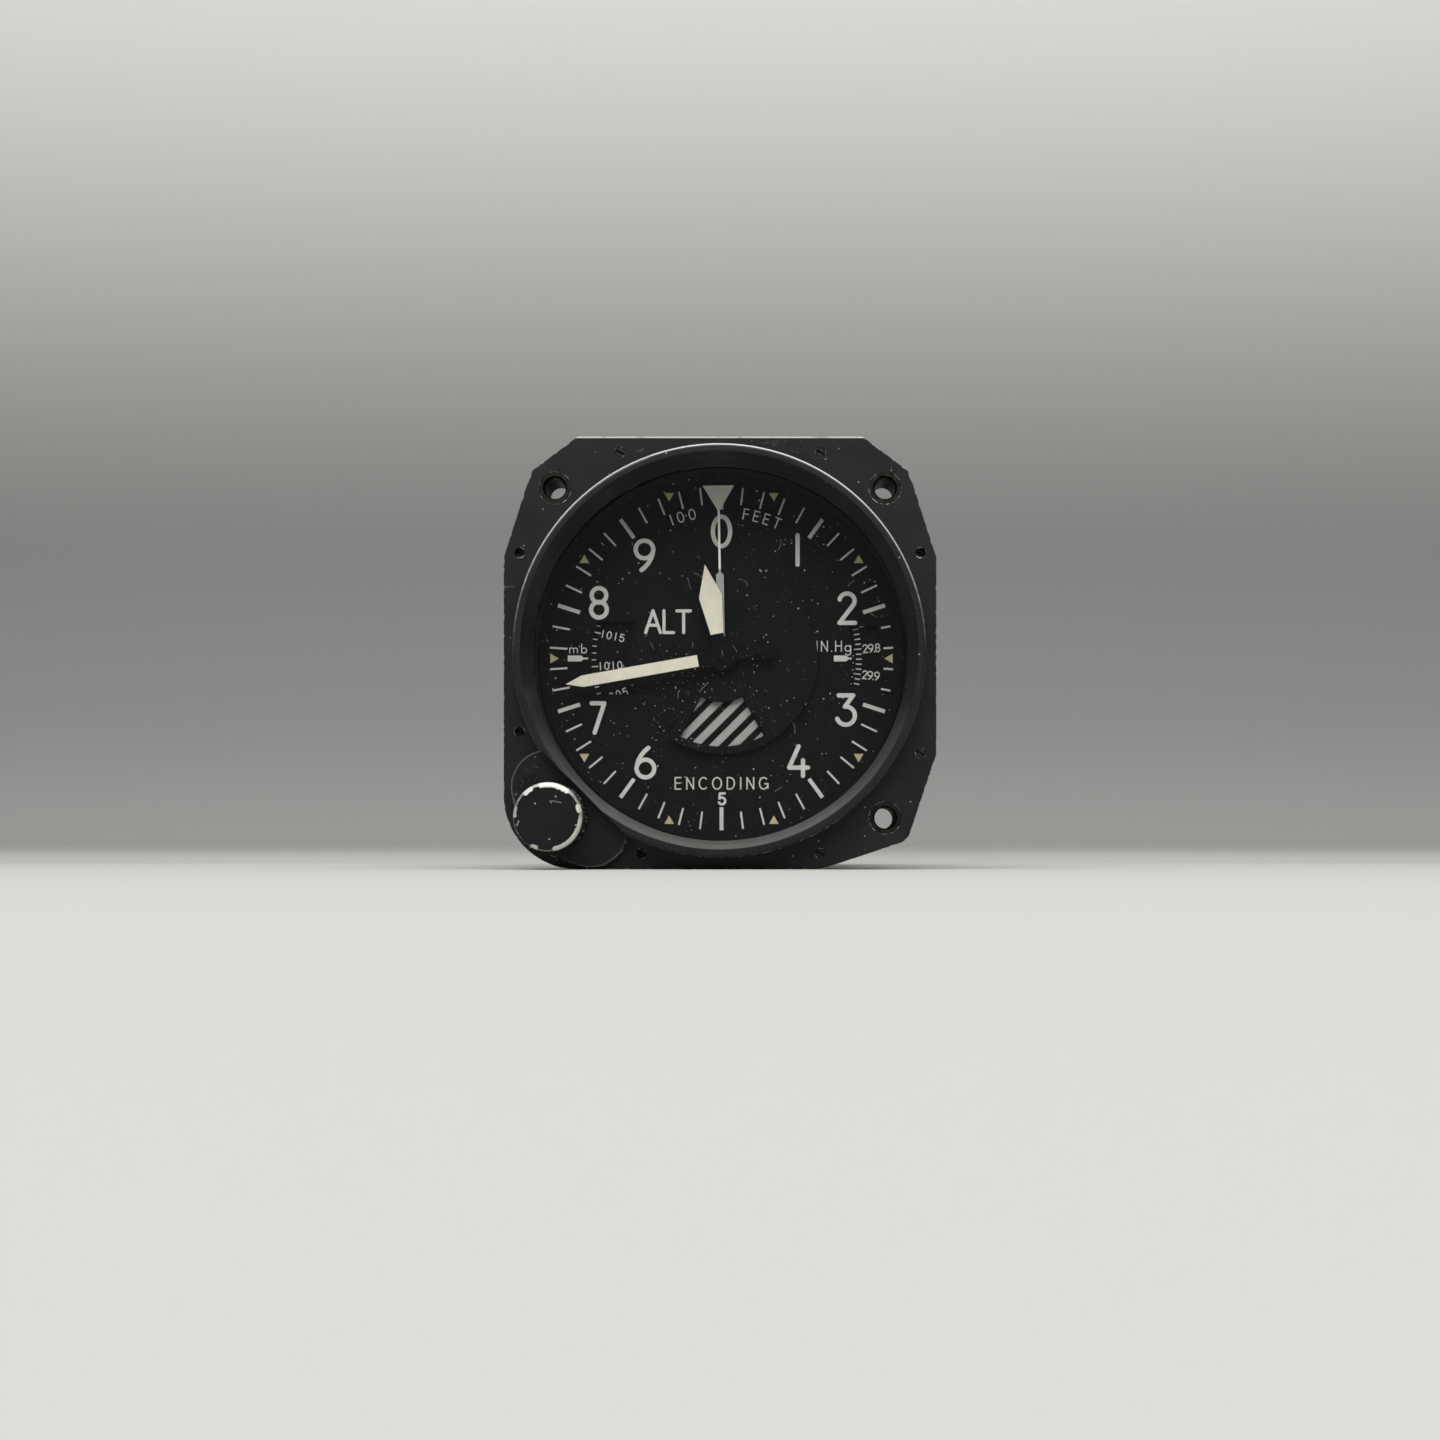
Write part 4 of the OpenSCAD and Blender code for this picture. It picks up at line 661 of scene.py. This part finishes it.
class InkSheet:
    """A thin layer of ink on one face, drawn in millimetres as the dial is read."""

    def __init__(self, face, relief):
        self.mesh = bmesh.new()
        self.face = face
        self.relief = relief
        self.laid = 0

    def next_front(self):
        """Front of the next patch, a little off its neighbours' so that no two share a plane."""
        lift = self.relief * (1 + 0.04 * (self.laid % 6))
        self.laid += 1
        return self.face - lift

    def corners(self, outline, y):
        """New corners along an outline at one depth."""
        return [self.mesh.verts.new((x * MM, y, z * MM)) for x, z in outline]

    def fill(self, outline):
        """Lays one flat patch of ink with its edges."""
        front = self.corners(outline, self.next_front())
        back = self.corners(outline, self.face)
        self.mesh.faces.new(front)
        for i, start in enumerate(front):
            j = (i + 1) % len(front)
            self.mesh.faces.new((start, back[i], back[j], front[j]))

    def band(self, outer, inner):
        """Lays a closed band of ink between two outlines."""
        front = self.next_front()
        edges = ((outer, self.face), (outer, front), (inner, front), (inner, self.face))
        rings = [self.corners(outline, y) for outline, y in edges]
        for a, b in zip(rings, rings[1:]):
            for i in range(len(a)):
                j = (i + 1) % len(a)
                self.mesh.faces.new((a[i], a[j], b[j], b[i]))

    def stroke(self, points, pen, closed=False):
        """Lays one pen stroke with round ends."""
        half = pen / 2
        count = len(points)
        left, right = [], []
        for i, (x, z) in enumerate(points):
            before = points[i - 1] if i or closed else points[i]
            after = points[(i + 1) % count] if i < count - 1 or closed else points[i]
            run = (Vector(after) - Vector(before)).normalized()
            left.append((x - half * run.y, z + half * run.x))
            right.append((x + half * run.y, z - half * run.x))
        if closed:
            self.band(left, right)
            return
        ends = []
        for at, to in ((points[-1], left[-1]), (points[0], right[0])):
            start = math.atan2(to[1] - at[1], to[0] - at[0])
            ends.append([polar(half, start - math.pi * k / 8, at) for k in range(1, 8)])
        self.fill(left + ends[0] + right[::-1] + ends[1])

    def letter(self, glyph, at, height, pen, turn=0.0):
        """Lays one letter, with its upright turned anticlockwise by an angle in radians."""
        for points, closed in GLYPHS[glyph][1]:
            self.stroke(placed(points, turn, at, height - pen), pen, closed)

    def spread(self, text, height, pen, total):
        """Middles of a word's letters from its own middle, spaced to a total width."""
        wide = [GLYPHS[c][0] * (height - pen) + pen for c in text]
        gap = (total - sum(wide)) / max(1, len(text) - 1)
        start = -total / 2
        middles = []
        for w in wide:
            middles.append(start + w / 2)
            start += w + gap
        return middles

    def word(self, text, at, height, pen, total, turn=0.0):
        """Lays a word along a straight line."""
        for glyph, shift in zip(text, self.spread(text, height, pen, total)):
            self.letter(glyph, polar(shift, turn, at), height, pen, turn)

    def curved_word(self, text, radius, heading, height, pen, total):
        """Lays a word along a circle about the dial axis; heading is clockwise from the top."""
        for glyph, shift in zip(text, self.spread(text, height, pen, total)):
            clockwise = math.radians(heading) + shift / radius
            place = (radius * math.sin(clockwise), radius * math.cos(clockwise))
            self.letter(glyph, place, height, pen, -clockwise)

    def finish(self, name, material, body):
        """Makes the sheet a piece that rides on a body."""
        bmesh.ops.recalc_face_normals(self.mesh, faces=self.mesh.faces)
        data = bpy.data.meshes.new(name)
        self.mesh.to_mesh(data)
        self.mesh.free()
        data.materials.append(material)
        piece = bpy.data.objects.new(name, data)
        bpy.context.scene.collection.objects.link(piece)
        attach(piece, body)


def finish_of(name):
    """A material made by an earlier operator."""
    return bpy.data.materials[name]


class ALTIMETER_OT_effects(Operator):
    """Make the shader effects that the finishes share"""

    bl_idname = "altimeter.effects"
    bl_label = "Shared effects"

    def execute(self, context):
        make_edge_wear()
        make_paint_grain()
        make_dust_film()
        make_turning_lines()
        make_rim_wear()
        return {"FINISHED"}


class ALTIMETER_OT_bezel(Operator):
    """Finish the bezel, its inserts, screws, gaskets and glass"""

    bl_idname = "altimeter.bezel"
    bl_label = "Bezel and glass"

    def execute(self, context):
        look = context.scene.altimeter_finish
        dress("front_bezel", worn_paint(
            "bezel_paint", look.bezel, look, rough=0.42, wear=0.58, film=look.dust_amount, specks=0.8,
            turned=True, marks=bezel_marks,
        ))
        insert = threaded_steel("insert_steel", srgb(58, 56, 53), pitch=0.7 * MM)
        dress("panel_inserts", insert, bevel=0.08)
        black = worn_paint("screw_black", srgb(34, 34, 35), look, rough=0.45, wear=0.1, film=0.2, specks=0.5)
        dress("bezel_screws", black, bevel=0.05)
        dress("bezel_gasket glass_gasket", plain_polymer("gasket_rubber", srgb(24, 24, 24), rough=0.75))
        dress("glass_retainer", bare("retainer_steel", srgb(120, 120, 122), rough=0.45))
        dress("cover_glass", clear_glass("cover_glass"))
        return {"FINISHED"}


class ALTIMETER_OT_case(Operator):
    """Finish the case, the static port and the connector"""

    bl_idname = "altimeter.case"
    bl_label = "Case and rear"

    def execute(self, context):
        look = context.scene.altimeter_finish
        paint = worn_paint("case_paint", look.case, look, rough=0.5, wear=0.3, film=0.1, specks=0.4)
        dress("case_body", paint)
        plated = bare("plated_steel", srgb(186, 186, 182), rough=0.32)
        dress("static_port", bare("port_alloy", srgb(178, 172, 156), rough=0.36), bevel=0.15)
        dress("connector_shell", plated, bevel=0.1)
        dress("jack_posts", plated, bevel=0.12)
        dress("connector_insulator", plain_polymer("connector_plastic", srgb(32, 36, 42), rough=0.5))
        dress("connector_pins", bare("pin_gold", srgb(214, 174, 96), rough=0.25), bevel=0.06)
        return {"FINISHED"}


class ALTIMETER_OT_knob(Operator):
    """Finish the setting knob and its shaft"""

    bl_idname = "altimeter.knob"
    bl_label = "Setting knob"

    # Scratches on the knob's front, each with its pen width, from the knob's axis in millimetres
    scratches = (
        (((0.45, 2.75), (0.9, 2.95), (2.5, 2.6)), 0.16),
        (((0.5, 2.95), (0.75, 2.5)), 0.14),
        (((-5.3, -0.8), (-5.6, -1.6)), 0.3),
    )

    def execute(self, context):
        look = context.scene.altimeter_finish
        dress("setting_knob", worn_paint(
            "knob_black", look.knob, look, rough=0.5, wear=0.55, film=0.1, specks=0.9,
            gloss=0.2, marks=knob_marks,
        ))
        dress("knob_set_screw", bare("set_screw_steel", srgb(90, 90, 92), rough=0.4))
        dress("knob_shaft", bare("shaft_brass", srgb(196, 158, 88), rough=0.35))
        dress("baro_ring_gear", plain_polymer("ring_black", srgb(16, 16, 17), rough=0.6))
        dress("knob_clip", finish_of("retainer_steel"))
        sheet = InkSheet(KNOB_LOW.y, 0.02 * MM)
        for points, pen in self.scratches:
            sheet.stroke([(KNOB_AXIS.x / MM + x, KNOB_AXIS.z / MM + z) for x, z in points], pen)
        grey = ink("scratch_grey", srgb(150, 148, 140), rough=0.6, thin=0.4)
        sheet.finish("knob_scratches", grey, "knob")
        return {"FINISHED"}


def pointer_direction(node):
    """Direction from the dial axis to the far end of a pointer."""
    flat = [Vector((v.co.x, 0, v.co.z)) for v in NODES[node].data.vertices]
    longest = max(p.length for p in flat)
    ends = [p for p in flat if p.length > 0.99 * longest]
    return sum(ends, Vector()).normalized()


class ALTIMETER_OT_dial(Operator):
    """Finish the dial, the scale disc and the pointers"""

    bl_idname = "altimeter.dial"
    bl_label = "Dial and pointers"

    def execute(self, context):
        look = context.scene.altimeter_finish
        matt = worn_paint("dial_black", look.dial, look, rough=0.7, wear=0, film=0, specks=0.3, gloss=0.1)
        dress("dial_plate baro_disc ten_thousands_shade dial_screws", matt)
        dress("dial_marks", ink("white_ink", look.print_white))
        dress("low_altitude_stripes", ink("stripe_ink", look.stripes))
        ink("tan_ink", look.print_tan)
        ink("cream_ink", look.print_cream)
        # Radii up to which each pointer is black and then painted grey as shade, and the width of its broken
        # edge
        for node, name, colour, black_to, painted_shade_to, edge in (
            ("hundreds_pointer", "hundreds_paint", look.pointer, 4.55, 0.0, 0.06),
            ("thousands_pointer", "thousands_paint", look.pointer, 4.6, 0.0, 0.06),
            # The longest pointer: a grey strip of painted shade, then a blade made lighter as painted light
            ("ten_thousands_pointer", "arrow_paint", look.arrow, 4.2, 17.3, 0.04),
        ):
            direction = pointer_direction(node)
            dress(node, two_tone_pointer(name, look, colour, direction, black_to, painted_shade_to), edge)
        return {"FINISHED"}


class ALTIMETER_OT_movement(Operator):
    """Finish the gear train, the capsules and the encoder"""

    bl_idname = "altimeter.movement"
    bl_label = "Movement"

    def execute(self, context):
        brass = bare("movement_brass", srgb(204, 168, 98), rough=0.3)
        dress("first_lay_wheel thousands_wheel second_lay_wheel ten_thousands_wheel centre_wheel", brass)
        dress("sector_gear encoder_wheel thousands_sleeve ten_thousands_sleeve", brass)
        dress("front_plate rear_plate encoder_plate encoder_bridge", brass)
        steel = bare("arbor_steel", srgb(176, 177, 180), rough=0.28)
        dress("first_lay_shaft second_lay_shaft centre_arbor rocking_shaft encoder_shaft", steel)
        dress("rocking_arm capsule_link mechanism_screws", steel)
        alloy = bare("movement_alloy", srgb(168, 168, 170), rough=0.38)
        dress("baro_hub plate_pillars long_pillars board_standoffs capsule_bracket", alloy)
        dark = plain_polymer("encoder_plastic", srgb(38, 40, 44), rough=0.5)
        dress("encoder_disc encoder_head board_chips", dark)
        dress("hundreds_arbor", finish_of("dial_black"))
        dress("aneroid_capsules", bare("capsule_copper", srgb(202, 160, 104), rough=0.3))
        dress("encoder_board", circuit_board("board_green"))
        return {"FINISHED"}


class ALTIMETER_OT_dial_print(Operator):
    """Print the numerals, words and triangles on the dial"""

    bl_idname = "altimeter.dial_print"
    bl_label = "Dial print"

    numerals = {
        "0": (0, 24.9), "1": (14.9, 21.25), "2": (24.6, 9.85), "3": (24.4, -10.1), "4": (15.1, -20.1),
        "6": (-14.9, -20.4), "7": (-24.2, -11.65), "8": (-24, 10.9), "9": (-15.1, 20.2),
    }
    # Clock headings of the triangles on both sides and the turn of each; one without a turn points inwards
    triangles = ((18, 180), (54, 0), (90, None), (126, 180), (162, 0))

    def execute(self, context):
        size = context.scene.altimeter_print
        white = InkSheet(DIAL_FACE, size.relief)
        for glyph, at in self.numerals.items():
            white.letter(glyph, at, size.numeral_height / MM, size.numeral_stroke / MM)
        white.letter("5", (0.1, -27.5), height=2.6, pen=0.45)
        white.word("ALT", (-10.5, 7.2), height=4.85, pen=0.6, total=9.4)
        white.curved_word("100", radius=28.8, heading=-15.2, height=2.2, pen=0.24, total=5.1)
        white.curved_word("FEET", radius=28.65, heading=16.1, height=2.2, pen=0.24, total=7.6)
        white.word("mb", (-28.1, 1.95), height=1.95, pen=0.18, total=3.5)
        white.word("IN.Hg", (22, 2.4), height=2.2, pen=0.2, total=6.9)
        white.finish("dial_numerals", finish_of("white_ink"), "case")

        tan = InkSheet(DIAL_FACE, size.relief)
        radius, inset = size.triangle_radius / MM, 0.5
        half_width, half_height = 0.95, 0.825
        upright = ((-half_width, -half_height), (half_width, -half_height), (0, half_height))
        for heading, points in self.triangles:
            for side in (-1, 1):
                clockwise = math.radians(side * heading)
                reach = radius if points is not None else radius - inset
                at = (reach * math.sin(clockwise), reach * math.cos(clockwise))
                turn = math.radians(points if points is not None else 90 * side)
                tan.fill(placed(upright, turn, at))
        tan.finish("dial_triangles", finish_of("tan_ink"), "case")
        cream = InkSheet(DIAL_FACE, size.relief)
        cream.word("ENCODING", (0, -24.45), height=2.5, pen=0.26, total=18.4)
        cream.finish("dial_word", finish_of("cream_ink"), "case")
        return {"FINISHED"}


class ALTIMETER_OT_scale_print(Operator):
    """Print the two pressure scales on the disc behind the dial"""

    bl_idname = "altimeter.scale_print"
    bl_label = "Setting scales"

    # For inches of mercury and for millibars: the setting at rest, the disc's degrees for one and the ends
    set_inches, per_inch, inch_ends = 29.84, 104.0, (28.1, 31.0)
    set_millibars, per_millibar, millibar_ends = 1011.1, 3.07, (952, 1050)

    def execute(self, context):
        sheet = InkSheet(SCALE_FACE, context.scene.altimeter_print.relief)
        inch_step = 0.02
        first, last = (round(end / inch_step) for end in self.inch_ends)
        for step in range(first, last + 1):
            inches = step * inch_step
            at = math.radians(-(inches - self.set_inches) * self.per_inch)
            whole = step % 5 == 0
            self.tick(sheet, at, inner=26.05 if whole else 26.4, outer=27.5, width=0.22)
            if whole:
                sheet.word(f"{inches:.1f}", polar(29.5, at), height=1.75, pen=0.24, total=3.5, turn=at)
        first, last = self.millibar_ends
        for millibars in range(first, last + 1):
            at = math.radians(180 - (millibars - self.set_millibars) * self.per_millibar)
            whole = millibars % 5 == 0
            self.tick(sheet, at, inner=24.3 if whole else 24.7, outer=26.0, width=0.2)
            if whole:
                total = 4.5 if millibars > 999 else 3.4
                turn = at + math.pi
                sheet.word(str(millibars), polar(21.8, at), height=1.6, pen=0.2, total=total, turn=turn)
        sheet.finish("setting_scales", finish_of("white_ink"), "baro_scale")
        return {"FINISHED"}

    def tick(self, sheet, at, inner, outer, width):
        """Lays one radial tick."""
        half = width / 2
        sheet.fill(placed(((inner, -half), (outer, -half), (outer, half), (inner, half)), at, (0, 0)))


def ragged(chance, at, radius, sides, start, low, high):
    """Uneven round outline, with each corner between two shares of the radius."""
    outline = []
    for k in range(sides):
        reach = radius * chance.uniform(low, high)
        outline.append(polar(reach, start + math.tau * k / sides, at))
    return outline


def speck(chance, at, radius):
    """Outline of one uneven speck."""
    sides = chance.randint(5, 8)
    return ragged(chance, at, radius, sides, chance.uniform(0, math.tau), low=0.6, high=1.2)


class ALTIMETER_OT_scuffs(Operator):
    """Lay chips, scratches and grime on the bezel and its pad"""

    bl_idname = "altimeter.scuffs"
    bl_label = "Scuffs on the bezel"

    # Patches of chips on the flange: the middle, the spread sideways and the number tried
    chip_patches = (((-15.0, 38.4), 0.7, 16), ((9.5, 40.1), 1.6, 22), ((14.0, 38.5), 0.6, 8))
    ring_radius, flange_reach, pad_reach = 40.2, 40.9, 6.4

    def execute(self, context):
        look = context.scene.altimeter_finish
        chance = random.Random(context.scene.altimeter_print.seed + 1)
        chipped = ink("chip_grey", look.pad_edge, rough=0.7, thin=0.5)
        flange = InkSheet(0.0, 0.01 * MM)
        for middle, spread, count in self.chip_patches:
            for _ in range(count):
                at = (chance.gauss(middle[0], spread), chance.gauss(middle[1], 0.25))
                if math.hypot(*at) > self.ring_radius and at[1] < self.flange_reach:
                    flange.fill(speck(chance, at, chance.uniform(0.05, 0.16)))
        flange.stroke([(-41.0, 12.75), (-40.4, 12.6), (-39.3, 12.65)], 0.13)
        flange.stroke([(-40.9, 12.5), (-40.5, 12.6)], 0.2)
        flange.finish("flange_chips", chipped, "case")

        x, z = KNOB_AXIS.x / MM, KNOB_AXIS.z / MM
        grime = InkSheet(PAD_FACE, 0.006 * MM)
        grime.fill(ragged(chance, (x - 4.6, z + 6.2), radius=2.3, sides=28, start=0.0, low=0.75, high=1.1))
        grimy = ink("grime_black", srgb(9, 9, 10), rough=0.8, thin=0.6)
        grime.finish("pad_grime", grimy, "case")
        chips = InkSheet(PAD_FACE, 0.012 * MM)
        for _ in range(34):
            at = (chance.gauss(x - 4.7, 1.5), chance.gauss(z + 6.4, 1.5))
            if math.dist(at, (x + PAD_UPPER_END[0], z + PAD_UPPER_END[1])) < self.pad_reach:
                chips.fill(speck(chance, at, chance.uniform(0.04, 0.13)))
        chips.stroke([(x - 3.9, z + 9.9), (x - 3.0, z + 9.5)], 0.1)
        chips.stroke([(x - 6.2, z + 7.3), (x - 5.8, z + 6.6)], 0.1)
        chips.finish("pad_chips", chipped, "case")
        return {"FINISHED"}


class ALTIMETER_OT_dust(Operator):
    """Lay dust specks and fibres on the cover glass"""

    bl_idname = "altimeter.dust"
    bl_label = "Dust on the glass"

    # Where dust has gathered, the share of specks there and how far they spread
    clusters = ((-9, -9), (-4, -8), (9, -11), (-1, -6), (-9, -13), (-13, -1))
    gathered, spread = 0.2, 3.6
    reach, fibre_inset, fibre_step, fibre_pen = 35.2, 4, 0.16, 0.035

    def execute(self, context):
        size = context.scene.altimeter_print
        chance = random.Random(size.seed)
        sheet = InkSheet(GLASS_FACE, 0.004 * MM)
        for _ in range(size.specks):
            at = self.somewhere(chance, self.reach)
            sheet.fill(speck(chance, at, 0.034 + 0.11 * chance.random() ** 4))
        for _ in range(size.hairs):
            points = [self.somewhere(chance, self.reach - self.fibre_inset)]
            heading = chance.uniform(0, math.tau)
            for _step in range(chance.randint(6, 16)):
                heading += chance.uniform(-0.35, 0.35)
                points.append(polar(self.fibre_step, heading, points[-1]))
            sheet.stroke(points, self.fibre_pen)
        dust = ink("dust_grey", context.scene.altimeter_finish.dust, rough=0.8, thin=0.35)
        sheet.finish("glass_dust", dust, "case")
        return {"FINISHED"}

    def somewhere(self, chance, reach):
        """A point on the glass, sometimes in one of the clusters."""
        if chance.random() < self.gathered:
            middle = chance.choice(self.clusters)
            return chance.gauss(middle[0], self.spread), chance.gauss(middle[1], self.spread)
        radius = reach * math.sqrt(chance.random())
        return polar(radius, chance.uniform(0, math.tau))


class ALTIMETER_OT_stage(Operator):
    """Set the floor, backdrop, light and camera"""

    bl_idname = "altimeter.stage"
    bl_label = "Stage"

    def execute(self, context):
        stage = context.scene.altimeter_stage
        self.cove(stage)
        self.lamp("overhead", stage.overhead, place=(0.0, -0.2, 0.8), tilt=0, size=(1.4, 0.8))
        self.lamp("front", stage.front, place=(0.0, -1.0, 0.78), tilt=52, size=(1.2, 0.5))
        self.sky(context.scene)
        context.scene.view_settings.view_transform = "Standard"
        camera = bpy.data.cameras.new("camera")
        camera.lens = stage.lens
        camera.sensor_width = 36
        camera.shift_x = -0.0365
        camera.shift_y = 0.092
        camera.clip_start = 0.01
        eye = bpy.data.objects.new("camera", camera)
        eye.location = (0.01, -0.4, -0.038)
        eye.rotation_euler = (math.radians(90), 0, 0)
        context.scene.collection.objects.link(eye)
        context.scene.camera = eye
        return {"FINISHED"}

    def sky(self, scene):
        """A dim room that is brighter overhead."""
        world = bpy.data.worlds.new("studio")
        world.use_nodes = True
        tree = world.node_tree
        direction = add(tree, "ShaderNodeTexCoord").outputs["Generated"]
        height = add(tree, "ShaderNodeSeparateXYZ", {0: direction}).outputs["Z"]
        shade = tint(tree, ramp(tree, height, 0.1, 0.9), (0.07, 0.07, 0.07, 1), (0.5, 0.5, 0.5, 1))
        wire(tree, tree.nodes["Background"], {"Color": shade})
        scene.world = world

    def lamp(self, name, power, place, tilt, size):
        """A soft rectangular lamp, tilted from straight down towards the rear by an angle in degrees."""
        data = bpy.data.lights.new(name, "AREA")
        data.energy = power
        data.shape = "RECTANGLE"
        data.size, data.size_y = size
        lamp = bpy.data.objects.new(name, data)
        lamp.location = place
        lamp.rotation_euler = (math.radians(tilt), 0, 0)
        bpy.context.scene.collection.objects.link(lamp)

    def cove(self, stage):
        """A floor that bends up into a backdrop."""
        wide, near, bend, radius, top = 3.0, -1.5, 0.26, 0.12, 2.2
        profile = [(near, FOOT), (bend, FOOT)]
        for step in range(1, 13):
            turn = math.radians(90 * step / 12)
            profile.append((bend + radius * math.sin(turn), FOOT + radius * (1 - math.cos(turn))))
        profile.append((bend + radius, top))
        verts = [(x, y, z) for y, z in profile for x in (-wide, wide)]
        faces = [(2 * i, 2 * i + 1, 2 * i + 3, 2 * i + 2) for i in range(len(profile) - 1)]
        data = bpy.data.meshes.new("cove")
        data.from_pydata(verts, [], faces)
        data.polygons.foreach_set("use_smooth", [True] * len(faces))
        material, tree, shader = new_finish("cove", {"Roughness": 0.8, "Specular IOR Level": 0.0})
        # The backdrop's colour by height is painted light and shade: dark low down, pale at the top and
        # towards the floor
        rise = calc(tree, "SUBTRACT", place_xyz(tree)["Z"], FOOT)
        wall = tint(tree, ramp(tree, rise, 0.1, 0.36), opaque(stage.wall_low), opaque(stage.wall_high))
        foot = tint(tree, ramp(tree, rise, 0.0, 0.06), opaque(stage.wall_foot), wall)
        colour = tint(tree, ramp(tree, rise, 0.0, 0.006), opaque(stage.floor), foot)
        wire(tree, shader, {"Base Color": colour})
        data.materials.append(material)
        cove = bpy.data.objects.new("cove", data)
        bpy.context.scene.collection.objects.link(cove)


OPERATORS = (
    ALTIMETER_OT_effects,
    ALTIMETER_OT_stage,
    ALTIMETER_OT_bezel,
    ALTIMETER_OT_case,
    ALTIMETER_OT_knob,
    ALTIMETER_OT_dial,
    ALTIMETER_OT_movement,
    ALTIMETER_OT_dial_print,
    ALTIMETER_OT_scale_print,
    ALTIMETER_OT_scuffs,
    ALTIMETER_OT_dust,
)
SETTINGS = {
    "altimeter_finish": AltimeterFinish,
    "altimeter_print": AltimeterPrint,
    "altimeter_stage": AltimeterStage,
}


class ALTIMETER_PT_dressing(Panel):
    """Lists the dressing steps and their settings"""

    bl_idname = "ALTIMETER_PT_dressing"
    bl_label = "Altimeter"
    bl_space_type = "VIEW_3D"
    bl_region_type = "UI"
    bl_category = "Altimeter"

    def draw(self, context):
        for operator in OPERATORS:
            self.layout.operator(operator.bl_idname)
        for name, group in SETTINGS.items():
            box = self.layout.box()
            box.label(text=group.__doc__)
            for prop in group.__annotations__:
                box.prop(getattr(context.scene, name), prop)


def register():
    """Adds the settings, the steps and the panel."""
    for group in SETTINGS.values():
        bpy.utils.register_class(group)
    for name, group in SETTINGS.items():
        setattr(bpy.types.Scene, name, PointerProperty(type=group))
    for shown in (*OPERATORS, ALTIMETER_PT_dressing):
        bpy.utils.register_class(shown)


def unregister():
    """Takes away what register added."""
    for shown in (ALTIMETER_PT_dressing, *reversed(OPERATORS)):
        bpy.utils.unregister_class(shown)
    for name, group in SETTINGS.items():
        delattr(bpy.types.Scene, name)
        bpy.utils.unregister_class(group)


def main():
    """Takes every step in order."""
    register()
    for operator in OPERATORS:
        family, step = operator.bl_idname.split(".")
        getattr(getattr(bpy.ops, family), step)()


if __name__ == "__main__":
    main()
